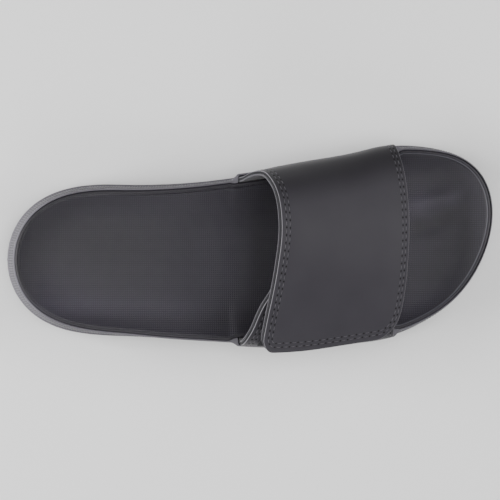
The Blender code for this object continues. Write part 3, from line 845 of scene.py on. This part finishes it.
def make_footbed():
    """Rings from the underside, up the side, over the rim's profile and the bead, then inwards
    over the bed, whose height runs from the mid line to the rim as a power of the share.
    The bead is a low ridge in the forefoot alone, painted pale as a painted highlight. Painted
    shade darkens the rim's flat at the heel, and the bed carries patches of painted light and
    shade."""
    places, edge, outward, spine, _ = edge_frame(BED_ANGLES)
    x = edge[:, 0]
    side, rim = bed_inset(places), rim_height(x)
    foot = side + SLOT_SLANT * strap_share(x)
    fore = eased(x, BASE_REAR, BASE_FRONT)
    rings, field, bead, dull = [], [], [], []

    def put(inset, height, beaded=0.0, gridded=0.0):
        rings.append(ring(edge - outward * np.broadcast_to(inset, x.shape)[:, None], height))
        field.append(gridded * (1 - fore))
        bead.append(beaded * fore)
        # Painted shade on the rim's flat at the heel, fading towards the toe.
        dull.append(RIM_PAINTED_SHADE * (1 - RIM_SHADE_LOST * eased(x, *RIM_SHADE_FADES)) * (1 - fore))

    put(foot, shelf_height(x) + GAP)
    for across, up in RIM_SECTION:
        put(side + across * RIM_ROUND, rim + up * RIM_ROUND)
    shoulder = rim - RIM_DROP * RIM_ROUND
    ridge = BEAD_RISE * fore
    step = BEAD * (HEEL_STEP + (1 - HEEL_STEP) * fore)
    for back, raised, lowered, beaded, gridded in BEAD_PROFILE:
        height = shoulder + raised * ridge + lowered * step
        put(side + RIM_WIDTH - back * BEAD, height, beaded, gridded)
    start = edge - outward * (side + RIM_WIDTH)[:, None]
    lip_height = shoulder - step
    cup = HEEL_CUP + (TOE_CUP - HEEL_CUP) * fore
    for share in np.concatenate([[0.992], np.linspace(0.98, 0.03, BED_RINGS)]):
        plan = spine + share * (start - spine)
        low = bed_height(plan[:, 0])
        relief = FOOTBED_THICKNESS * mounds(RELIEF, plan)
        rings.append(ring(plan, low + (lip_height - low) * share**cup + relief))
        field.append(np.ones(len(x)) if share < 0.985 else 1 - fore)
        bead.append(np.zeros(len(x)))
        dull.append(np.zeros(len(x)))
    plan = np.concatenate([loop[:, :2] for loop in rings])
    # The last attribute carries the painted light and shade patches, less the rim's painted shade.
    lofted("moulded_footbed", rings, bed_foam, field=np.concatenate(field),
           bead=np.concatenate(bead), worn=mounds(PAINTED_PATCHES, plan) - np.concatenate(dull))


make_footbed()

# %% [markdown]
# ## The tread
# The outsole's solid already has its true lugs. Its triangles are merged and shaded smooth
# up to the groove edges, so the round edge looks round and the grooves stay crisp.

# %% Outsole
TREAD_SHARP = np.radians(28)
WELD = 1e-6


def make_outsole():
    """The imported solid's triangles, merged into one smooth mesh."""
    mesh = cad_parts["outsole"].data.copy()
    shape = bmesh.new()
    shape.from_mesh(mesh)
    bmesh.ops.remove_doubles(shape, verts=shape.verts, dist=WELD)
    shape.to_mesh(mesh)
    shape.free()
    mesh.materials.clear()
    mesh.materials.append(tread_rubber)
    mesh.shade_smooth()
    mesh.set_sharp_from_angle(angle=TREAD_SHARP)
    made = bpy.data.objects.new("rubber_outsole", mesh)
    bpy.context.collection.objects.link(made)
    pieces[made.name] = made
    print("rubber_outsole", len(mesh.vertices), "points")


make_outsole()

# %% [markdown]
# ## The straps
# Each strap is cut from three layers: synthetic leather outside, foam, and a brushed lining
# inside. The layers show as lines along its cut edge. The surface is a function of the place
# along the shoe and the turn over the foot, lifted off the last along its normal.

# %% The last's section and the straps' edges
PAD_THICKNESS = 0.0010
INSTEP_REAR = 0.0445
INSTEP_FRONT = 0.0230
FLAP_END = 0.902
TAB_END = 0.440
PAD_MARGIN = 0.0070
REAR_CORNER = 0.0080
FRONT_CORNER = 0.0120
TAB_CORNER = 0.0020
SMALLEST_CORNER = 0.0008
FLAP_SPRING = 0.0024
CLIMB_START = 0.12
CLIMB_PAST_TAB = 0.10
SPRING_TURNS = 0.14
SPRING_SHARE = 0.70
LOOP_FROM_TAB_END = 0.12
LOOP_PAST_FLAP_END = 0.01
HOOK_FROM_TAB_END = 0.24
HOOK_BEFORE_FLAP_END = 0.03
# Turns over which a layer that stands out at the rear does so from its root on.
ROOT_TURNS = 0.06
SMALL_TURN = 0.004

# turn: 0 at the base on the big-toe side and 1 at the base on the outer side. across: share
# of half the base width. up: share of the instep height above the rim.
SECTION = (
    # turn, across, up
    (0.000, 1.000, 0.000),
    (0.030, 1.004, 0.085),
    (0.080, 1.034, 0.230),
    (0.145, 1.044, 0.430),
    (0.210, 1.000, 0.630),
    (0.280, 0.870, 0.820),
    (0.360, 0.680, 0.945),
    (0.450, 0.420, 1.000),
    (0.545, 0.120, 0.970),
    (0.640, -0.180, 0.885),
    (0.730, -0.460, 0.765),
    (0.805, -0.690, 0.640),
    (0.865, -0.875, 0.520),
    (0.910, -0.985, 0.400),
    (0.950, -1.025, 0.250),
    (0.980, -1.015, 0.100),
    (1.000, -1.000, 0.000),
)
# rear and front: how far each edge runs ahead of its place at the base, as a share of the
# base's length.
FLAP_EDGES = (
    # turn, rear, front
    (0.00, 0.000, 0.000),
    (0.10, 0.070, -0.004),
    (0.20, 0.130, 0.000),
    (0.32, 0.180, 0.022),
    (0.45, 0.190, 0.036),
    (0.60, 0.165, 0.038),
    (0.75, 0.130, 0.023),
    (0.90, 0.090, -0.018),
    (1.00, 0.065, -0.050),
)
TAB_EDGES = (
    # turn, rear, front
    (0.40, 0.236, -0.030),
    (0.60, 0.212, -0.022),
    (0.70, 0.170, -0.022),
    (0.76, 0.112, -0.022),
    (0.85, 0.055, -0.022),
    (0.93, 0.006, -0.014),
    (1.00, 0.000, -0.004),
)


def base_places(x):
    """Y of the straps' inner faces where they leave the sole: the edge moved in by the strap's
    inset, longer where the edge is slanted."""
    places = []
    for side in (1, -1):
        edge = mid_line(x) + side * half_width(x)
        ahead = mid_line(x + MM) + side * half_width(x + MM)
        slant = np.sqrt(1 + ((ahead - edge) / MM) ** 2)
        places.append(edge - side * (strap_inset(x) + STRAP_WALL) * slant)
    return places


def last_point(x, turn):
    """Inner face of the straps: the section's shares times the base width and the instep
    height, which falls evenly from the rear of the base to its front."""
    inner, outer = base_places(x)
    y = (inner + outer) / 2 + (inner - outer) / 2 * follow(SECTION, 1, turn)
    along = (x - BASE_REAR) / (BASE_FRONT - BASE_REAR)
    instep = INSTEP_REAR + (INSTEP_FRONT - INSTEP_REAR) * along
    z = rim_height(x) + instep * follow(SECTION, 2, turn)
    return np.stack([x, y, z], axis=-1)


def strap_point(x, turn, sink, lift):
    """The last's point plus lift times the outward normal, which is the cross product of the
    two directions of the surface. sink runs from 0 at the rim to 1 at the slot's floor."""
    x, turn, sink, lift = np.broadcast_arrays(x, turn, sink, lift)
    along = last_point(x + MM, turn) - last_point(x - MM, turn)
    before = last_point(x, np.clip(turn - SMALL_TURN, 0, 1))
    after = last_point(x, np.clip(turn + SMALL_TURN, 0, 1))
    normal = np.cross(along, before - after)
    normal[..., 2] *= (turn > 0) & (turn < 1)
    normal /= np.linalg.norm(normal, axis=-1, keepdims=True)
    points = last_point(x, turn) + normal * lift[..., None]
    points[..., 1] -= np.where(turn < 0.5, 1, -1) * SLOT_SLANT * sink
    points[..., 2] -= sink * (rim_height(x) - shelf_height(x) - GAP)
    return points


def flap_lift(turn, share):
    """Height of the flap above the last: it climbs over the tab and the tapes, and the rear of
    its free end springs away from them."""
    stack = STRAP_WALL + 2 * PAD_THICKNESS + 3 * GAP
    climb = eased(turn, CLIMB_START, TAB_END + CLIMB_PAST_TAB)
    spring = eased(turn, FLAP_END - SPRING_TURNS, FLAP_END) * (1 - eased(share, 0, SPRING_SHARE))
    return stack * climb + FLAP_SPRING * spring


def tab_lift(turn, share):
    """The tab lies on the last."""
    return 0 * turn * share


SECTION_STEPS = 400
turns_once = np.linspace(0, 1, SECTION_STEPS)
section_line = last_point(np.full(SECTION_STEPS, (BASE_REAR + BASE_FRONT) / 2), turns_once)
TURN_LENGTH = np.linalg.norm(np.diff(section_line, axis=0), axis=1).sum()
print("a strap's section is", round(TURN_LENGTH * 1000, 1), "mm long")

# %% One strap as a sheet of rows and columns
ROW_STEP = 1.5 * MM
END_ROWS = np.array([0, 0.08, 0.2, 0.35, 0.55, 0.8, 1.1, 1.5, 1.9, 2.3, 2.7, 3.2, 3.8, 4.4,
                     5.1, 6.0, 7.0, 8.2, 9.5, 11.0, 12.6]) * MM
EDGE_COLUMNS = np.array([0, 0.08, 0.2, 0.4, 0.7, 1.1, 1.5, 1.9, 2.3, 2.7, 3.1, 3.5, 3.9, 4.3,
                         4.7, 5.1, 5.6, 6.4, 8.0]) * MM
MIDDLE_COLUMNS = 16
SUNK_ROWS = 5
PATH_STEPS = 700
BLOCK = 2000


class Strap:
    """A strap's cut: its edges, the turns at its root and tip, its corners and its lift."""

    def __init__(self, edges, root, tip, corners, lift):
        self.edges = edges
        self.root = root
        self.tip = tip
        self.corners = corners
        self.lift = lift
        self.heading = np.sign(tip - root)

    def sides(self, turn, inset):
        """X of the rear and front edge moved in by the insets rear, front and end. A rounded
        corner draws an edge in as a quarter circle does."""
        rear_in, front_in, end_in = inset
        from_root = np.abs(turn - self.root)
        rear_in = rear_in * np.where(rear_in < 0, eased(from_root, 0, ROOT_TURNS), 1)
        base = BASE_FRONT - BASE_REAR
        to_tip = np.abs(self.tip - turn) * TURN_LENGTH - end_in
        cuts = []
        for corner, moved in zip(self.corners, inset):
            radius = max(corner - max(moved, end_in), SMALLEST_CORNER)
            short = np.clip(radius - to_tip, 0, radius)
            cuts.append(radius - np.sqrt(radius**2 - short**2))
        rear = BASE_REAR + base * follow(self.edges, 1, turn) + rear_in + cuts[0]
        front = BASE_FRONT + base * follow(self.edges, 2, turn) - front_in - cuts[1]
        return rear, front

    def turns(self, inset, count=None):
        """Turns from the root to the inset tip, in count even steps or in steps of ROW_STEP, and
        closer near the tip."""
        tip = self.tip - self.heading * inset[2] / TURN_LENGTH
        near = tip - self.heading * END_ROWS[::-1] / TURN_LENGTH
        count = count or int(abs(near[0] - self.root) * TURN_LENGTH / ROW_STEP)
        return np.concatenate([np.linspace(self.root, near[0], count)[:-1], near])

    def path(self, inset):
        """The inset outline from the root along the rear, across the tip and back along the
        front, as places (x, turn times the section's length)."""
        turn = self.turns(inset, PATH_STEPS // 3)
        rear, front = self.sides(turn, inset)
        across = np.linspace(rear[-1], front[-1], PATH_STEPS // 6)[1:-1]
        x = np.concatenate([rear, across, front[::-1]])
        turn = np.concatenate([turn, np.full(len(across), turn[-1]), turn[::-1]])
        return np.column_stack([x, turn * TURN_LENGTH])

    def rows(self, inset):
        """Turns of the rows from the root to the tip, and how far each is sunk in the slot."""
        turn = self.turns(inset)
        sink = np.concatenate([np.linspace(1, 0, SUNK_ROWS + 1)[:-1], np.zeros(len(turn))])
        return np.concatenate([np.full(SUNK_ROWS, self.root), turn]), sink


def distance_to(places, path):
    """Distance from each place to the nearest point of a path's segments: the foot of the
    perpendicular, clipped to the segment. Blocks of places keep the arrays small."""
    start, step = path[:-1], np.diff(path, axis=0)
    square = (step**2).sum(axis=1) + 1e-18
    nearest = np.full(len(places), np.inf)
    for first in range(0, len(places), BLOCK):
        gap = places[first : first + BLOCK, None] - start
        share = np.clip((gap * step).sum(axis=2) / square, 0, 1)
        away = np.linalg.norm(gap - share[..., None] * step, axis=2)
        nearest[first : first + BLOCK] = away.min(axis=1)
    return nearest


# %% Layers of a strap
LEATHER_THICKNESS = 0.85 * MM
LINING_THICKNESS = 0.85 * MM
LAYER_CLEARANCE = 0.02 * MM
LEATHER_ROUND = 0.45 * MM
PADDING_RISE = 0.35 * MM
STITCH_TROUGH = 0.10 * MM
TROUGH_REACH = 0.55 * MM
# Distances from the cut edge: the foam swells between the first two, and the leather's pale edge,
# partly its own tone and partly a painted edge highlight, fades into its face between the others.
SWELL = (4.5 * MM, 11 * MM)
EDGE_AND_HIGHLIGHT_FADE = (0.10 * MM, 0.28 * MM)
# The leather's colour carries painted shade on the steep big-toe side, fading out between these
# turns.
PAINTED_SHADE_DEPTH = 0.50
PAINTED_SHADE_TURNS = (0.24, 0.40)
# Insets of each layer from the rear edge, the front edge and the tip. The foam and the lining
# stand out at the rear, where they are left longer than the leather.
LEATHER_INSET = (0.0, 0.0, 0.0)
FOAM_INSET = (-0.3 * MM, 0.55 * MM, 0.55 * MM)
LINING_INSET = (-1.0 * MM, 0.15 * MM, 0.15 * MM)
# Insets of the two stitch rows from the rear edge, the front edge and the tip.
STITCH_ROWS = (
    # rear, front, tip
    (2.7 * MM, 2.0 * MM, 2.4 * MM),
    (4.9 * MM, 4.0 * MM, 4.3 * MM),
)


def leather_relief(strap, x, turn):
    """Height that the leather's face adds to the strap's plain thickness: a round over its cut
    edge, a narrow trough at each stitch row and a slight swell of the foam inside them."""
    places = np.column_stack([np.ravel(x), np.ravel(turn) * TURN_LENGTH])
    edge = distance_to(places, strap.path((0, 0, 0)))
    short = np.clip(LEATHER_ROUND - edge, 0, LEATHER_ROUND)
    height = np.sqrt(LEATHER_ROUND**2 - short**2) - LEATHER_ROUND
    for row in STITCH_ROWS:
        trough = np.exp(-((distance_to(places, strap.path(row)) / TROUGH_REACH) ** 2))
        height -= STITCH_TROUGH * trough
    height += PADDING_RISE * eased(edge, *SWELL)
    return height.reshape(np.shape(x)), edge.reshape(np.shape(x))


def strap_layer(name, strap, low, high, inset, material, face=None):
    """One layer as a solid, between two heights above the last. face adds a relief to its
    top."""
    turn, sink = strap.rows(inset)
    rear, front = strap.sides(turn, inset)
    middle_shares = np.linspace(0, 1, MIDDLE_COLUMNS + 2)[1:-1]
    rim = EDGE_COLUMNS
    share = np.concatenate([0 * rim, middle_shares, 0 * rim + 1])
    from_rear = np.concatenate([rim, np.full(MIDDLE_COLUMNS, rim[-1]), 0 * rim])
    from_front = np.concatenate([0 * rim, np.full(MIDDLE_COLUMNS, rim[-1]), rim[::-1]])
    x = (rear[:, None] + from_rear) * (1 - share) + (front[:, None] - from_front) * share
    turns = np.broadcast_to(turn[:, None], x.shape)
    across = (x - x[:, :1]) / (x[:, -1:] - x[:, :1])
    ground = strap.lift(turns, across)
    added, cut = np.zeros(x.shape), np.zeros(x.shape)
    if face is not None:
        added, away = face(strap, x, turns)
        # The pale band along the face's edge: partly its own tone, partly a painted edge
        # highlight.
        cut = 1 - eased(away, *EDGE_AND_HIGHLIGHT_FADE)
    sunk = sink[:, None]
    top = strap_point(x, turns, sunk, ground + high + added)
    bottom = strap_point(x, turns, sunk, ground + low)
    # The cut walls are pale all over: partly their own tone, partly a painted edge highlight.
    edge_walls = np.ones((len(turn), 1))
    edge_and_highlight = np.concatenate([edge_walls, cut, edge_walls, np.ones(x.shape)], axis=1)
    # Painted shade: the colour is darkened on the steep big-toe side.
    shade = 1 - PAINTED_SHADE_DEPTH * (1 - eased(turn, *PAINTED_SHADE_TURNS))
    shade = np.broadcast_to(shade[:, None], edge_and_highlight.shape)
    lofted(name, slab(top, bottom), material, cut=edge_and_highlight, shade=shade)


FLAP = Strap(FLAP_EDGES, 0.0, FLAP_END, (REAR_CORNER, FRONT_CORNER), flap_lift)
TAB = Strap(TAB_EDGES, 1.0, TAB_END, (TAB_CORNER, TAB_CORNER), tab_lift)
LEATHER_BASE = STRAP_WALL - LEATHER_THICKNESS
STRAPS = {"strap_flap": FLAP, "strap_tab": TAB}
for node, strap in STRAPS.items():
    strap_layer(node + "_leather", strap, LEATHER_BASE, STRAP_WALL - PADDING_RISE,
                LEATHER_INSET, leather, leather_relief)
    strap_layer(node + "_padding", strap, LINING_THICKNESS + LAYER_CLEARANCE,
                LEATHER_BASE - LAYER_CLEARANCE, FOAM_INSET, foam)
    strap_layer(node + "_lining", strap, 0, LINING_THICKNESS, LINING_INSET, lining)

# %% [markdown]
# ## Stitches
# Two rows of lockstitch run round each strap. From above a row shows as short pale dashes between
# dark needle holes. Each dash is a small tube that dips at both ends, and each hole a near-black
# lens, a painted shadow of the hole, all in one mesh for a strap. A texture could draw them, but
# the dashes catch light at the strap's bend, so they are modelled.

# %% Rows of stitches
STITCH_PITCH = 4.4 * MM
STITCH_SHARE = 0.56
THREAD_RADIUS = 0.20 * MM
THREAD_RISE = 0.34 * MM
THREAD_SUNK = 0.22 * MM
# A thread is pressed flatter than it is wide, by this share.
THREAD_FLAT = 0.8
HOLE_RADIUS = 0.56 * MM
HOLE_SIDES = 8
# Heights of a hole's rim, middle and root above the leather.
HOLE_RIM = 0.05 * MM
HOLE_CROWN = 0.09 * MM
HOLE_ROOT = -0.12 * MM
TUBE_STEPS = 7
TUBE_SIDES = 6
SMALL_RUN = 0.2 * MM


def stitch_row(strap, inset):
    """Places along one row at equal real lengths, with the directions along the row and out of
    the leather there."""
    path = strap.path(inset)
    x, turn = path[:, 0], path[:, 1] / TURN_LENGTH
    rear, front = strap.sides(turn, (0, 0, 0))
    share = np.clip((x - rear) / (front - rear), 0, 1)
    added, _ = leather_relief(strap, x, turn)
    lift = strap.lift(turn, share) + STRAP_WALL - PADDING_RISE + added
    line = strap_point(x, turn, 0, lift)
    out = strap_point(x, turn, 0, lift + MM) - line
    run = np.concatenate([[0], np.linalg.norm(np.diff(line, axis=0), axis=1).cumsum()])
    return run, line, out / np.linalg.norm(out, axis=1, keepdims=True)


def along_row(row, at):
    """Point, direction and outward normal of a row at given lengths, by interpolation."""
    run, line, out = row

    def read(values, at):
        return np.stack([np.interp(at, run, values[:, k]) for k in range(3)], axis=-1)

    point, normal = read(line, at), read(out, at)
    forward = read(line, at + SMALL_RUN) - read(line, at - SMALL_RUN)
    forward /= np.linalg.norm(forward, axis=-1, keepdims=True)
    aside = np.cross(normal, forward)
    aside /= np.linalg.norm(aside, axis=-1, keepdims=True)
    return point, aside, np.cross(forward, aside)


def make_stitches(name, rows):
    """A tube for each stitch. Its height and radius follow the sine of the way along it, and
    its ends sink into the leather."""
    blocks = []
    for row in rows:
        count = int(row[0][-1] / STITCH_PITCH)
        begin = np.arange(count) * row[0][-1] / count
        share = np.linspace(0, 1, TUBE_STEPS)
        at = begin[:, None] + STITCH_PITCH * (0.5 + STITCH_SHARE * (share - 0.5))
        point, aside, out = along_row(row, at)
        bow = np.sin(np.pi * share) ** 0.5
        middle = point + out * (THREAD_RISE * bow - THREAD_SUNK)[:, None]
        radius = THREAD_RADIUS * (0.5 + 0.5 * bow)
        turn = 2 * np.pi * np.arange(TUBE_SIDES) / TUBE_SIDES
        wide = np.cos(turn)[:, None] * aside[:, :, None]
        tall = THREAD_FLAT * np.sin(turn)[:, None] * out[:, :, None]
        blocks.append(middle[:, :, None] + radius[:, None, None] * (wide + tall))
    tubes = np.concatenate(blocks)
    count = len(tubes)
    index = np.arange(tubes[..., 0].size).reshape(count, TUBE_STEPS, TUBE_SIDES)
    after = np.roll(index, -1, axis=2)
    sides = np.stack([index[:, :-1], after[:, :-1], after[:, 1:], index[:, 1:]], axis=-1)
    first, last = index[:, 0], index[:, -1]
    ends = [first[:, [3, 2, 1, 0]], first[:, [5, 4, 3, 0]], last[:, :4], last[:, [0, 3, 4, 5]]]
    quads = np.concatenate([sides.reshape(-1, 4), *ends])
    make_piece(name, tubes.reshape(-1, 3), quads, np.zeros((0, 3), int), thread)


def make_holes(name, rows):
    """A flat eight-sided near-black lens at each needle hole, just proud of the leather: a painted
    shadow of the hole.
    """
    blocks = []
    for row in rows:
        count = int(row[0][-1] / STITCH_PITCH)
        at = np.arange(1, count) * row[0][-1] / count
        point, aside, out = along_row(row, at)
        ahead = np.cross(aside, out)
        turn = 2 * np.pi * np.arange(HOLE_SIDES) / HOLE_SIDES
        rim = np.cos(turn)[:, None] * aside[:, None] + np.sin(turn)[:, None] * ahead[:, None]
        rim = point[:, None] + HOLE_RADIUS * rim + HOLE_RIM * out[:, None]
        crown = point[:, None] + HOLE_CROWN * out[:, None]
        root = point[:, None] + HOLE_ROOT * out[:, None]
        blocks.append(np.concatenate([rim, crown, root], axis=1))
    lenses = np.concatenate(blocks)
    start = (HOLE_SIDES + 2) * np.arange(len(lenses))[:, None]
    here = start + np.arange(HOLE_SIDES)
    after = np.roll(here, -1, axis=1)
    top, low = start + HOLE_SIDES + 0 * here, start + HOLE_SIDES + 1 + 0 * here
    crown, root = np.stack([here, after, top], axis=-1), np.stack([after, here, low], axis=-1)
    triangles = np.concatenate([crown.reshape(-1, 3), root.reshape(-1, 3)])
    make_piece(name, lenses.reshape(-1, 3), np.zeros((0, 4), int), triangles, hole_shade)


for node, strap in STRAPS.items():
    rows = [stitch_row(strap, inset) for inset in STITCH_ROWS]
    make_stitches(node + "_stitches", rows)
    make_holes(node + "_needle_hole_shadows", rows)

# %% [markdown]
# ## Hook and loop tapes
# The tab carries a wide loop tape and the flap a hook tape under its free end. They are thin
# woven slabs, sewn down, and only their rear edges show in the gap between the straps.

# %% Tapes
TAPE_ROWS = 60
TAPE_COLUMNS = 40


def make_tape(name, first, last, lift, material):
    """A slab between two turns, inside the edges of the tab and the flap."""
    turn = np.linspace(first, last, TAPE_ROWS)
    base = BASE_FRONT - BASE_REAR
    tab_rear, tab_front = TAB.sides(turn, (0, 0, 0))
    flap_rear = BASE_REAR + base * follow(FLAP_EDGES, 1, turn)
    flap_front = BASE_FRONT + base * follow(FLAP_EDGES, 2, turn)
    rear = np.maximum(tab_rear + PAD_MARGIN, flap_rear - PAD_MARGIN / 2)
    front = np.minimum(tab_front, flap_front) - PAD_MARGIN
    x = rear[:, None] + (front - rear)[:, None] * np.linspace(0, 1, TAPE_COLUMNS)
    turns = np.broadcast_to(turn[:, None], x.shape)
    top = strap_point(x, turns, 0, lift + PAD_THICKNESS)
    lofted(name, slab(top, strap_point(x, turns, 0, lift)), material)


loop_lift = STRAP_WALL + GAP
hook_lift = loop_lift + PAD_THICKNESS + GAP
make_tape("loop_tape", TAB_END + LOOP_FROM_TAB_END, FLAP_END + LOOP_PAST_FLAP_END, loop_lift,
          loop_tape)
make_tape("hook_tape", TAB_END + HOOK_FROM_TAB_END, FLAP_END - HOOK_BEFORE_FLAP_END, hook_lift,
          hook_tape)

# %% [markdown]
# ## What stands for what
# Every finished piece rides on the one body, and the solid that it stands for is hidden.

# %% Ride and replace
STANDS_FOR = {
    "midsole_carrier": "midsole",
    "moulded_footbed": "footbed",
    "rubber_outsole": "outsole",
    "loop_tape": "loop_pad",
    "hook_tape": "hook_pad",
}
for name, piece in pieces.items():
    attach(piece, "root")
    node = STANDS_FOR.get(name) or ("strap_flap" if name.startswith("strap_flap") else "strap_tab")
    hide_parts(node)
print("pieces:", len(pieces))

# %% [markdown]
# ## Studio
# The photograph looks straight down on the sandal, a little from behind the heel, with soft
# light from the heel's side and from above. A pale floor and wide area lights do the same.

# %% Floor, world and lights
FLOOR_SIZE = 6.0
FLOOR_COLOUR = "#F4F4F4"
FLOOR_DROP = 0.1 * MM
WORLD_STRENGTH = 0.06
floor_points = np.array([[-1, -1, 0], [1, -1, 0], [1, 1, 0], [-1, 1, 0]]) * FLOOR_SIZE / 2
floor_mesh = bpy.data.meshes.new("studio_floor")
floor_mesh.from_pydata((floor_points - [0, 0, FLOOR_DROP]).tolist(), [], [(0, 1, 2, 3)])
# Matte wall paint, rolled on. It gives the eye a plain pale ground.
floor_paint, _, _ = new_material(
    "matte_floor_paint", Roughness=0.9, Base_Color=linear(FLOOR_COLOUR),
)
floor_mesh.materials.append(floor_paint)
floor = bpy.data.objects.new("studio_floor", floor_mesh)
bpy.context.collection.objects.link(floor)

world = bpy.data.worlds.new("studio")
world.use_nodes = True
background = world.node_tree.nodes["Background"]
background.inputs["Color"].default_value = (1, 1, 1, 1)
background.inputs["Strength"].default_value = WORLD_STRENGTH
bpy.context.scene.world = world

LIGHTS = (
    # name, place, size, power
    ("heel_light", (-1.3, 0.0, 0.6), 1.0, 35.0),
    ("toe_light", (1.3, 0.0, 0.8), 0.9, 16.0),
    ("toe_corner_light", (0.8, 0.8, 1.1), 0.6, 4.0),
    ("outer_side_light", (0.0, -1.3, 0.8), 0.9, 7.0),
    ("top_light", (0.0, 0.0, 1.6), 0.8, 9.0),
)
for name, place, size, power in LIGHTS:
    light = bpy.data.lights.new(name, "AREA")
    light.size = size
    light.energy = power
    lamp = bpy.data.objects.new(name, light)
    lamp.location = place
    lamp.rotation_mode = "QUATERNION"
    lamp.rotation_quaternion = (-lamp.location).to_track_quat("-Z", "Y")
    bpy.context.collection.objects.link(lamp)

# %% Camera
CAMERA_TILT = np.radians(6)
CAMERA_DISTANCE = 1.8
CAMERA_TARGET = np.array([-0.00097, -0.00115, 0.020])
FIELD = 0.293
SENSOR_WIDTH = 36
back = np.array([-np.sin(CAMERA_TILT), 0, np.cos(CAMERA_TILT)])
camera_data = bpy.data.cameras.new("camera")
camera_data.sensor_width = SENSOR_WIDTH
camera_data.lens = SENSOR_WIDTH * CAMERA_DISTANCE / FIELD
camera = bpy.data.objects.new("camera", camera_data)
camera.location = CAMERA_TARGET + CAMERA_DISTANCE * back
camera.rotation_euler = (0, -CAMERA_TILT, 0)
bpy.context.collection.objects.link(camera)
bpy.context.scene.camera = camera
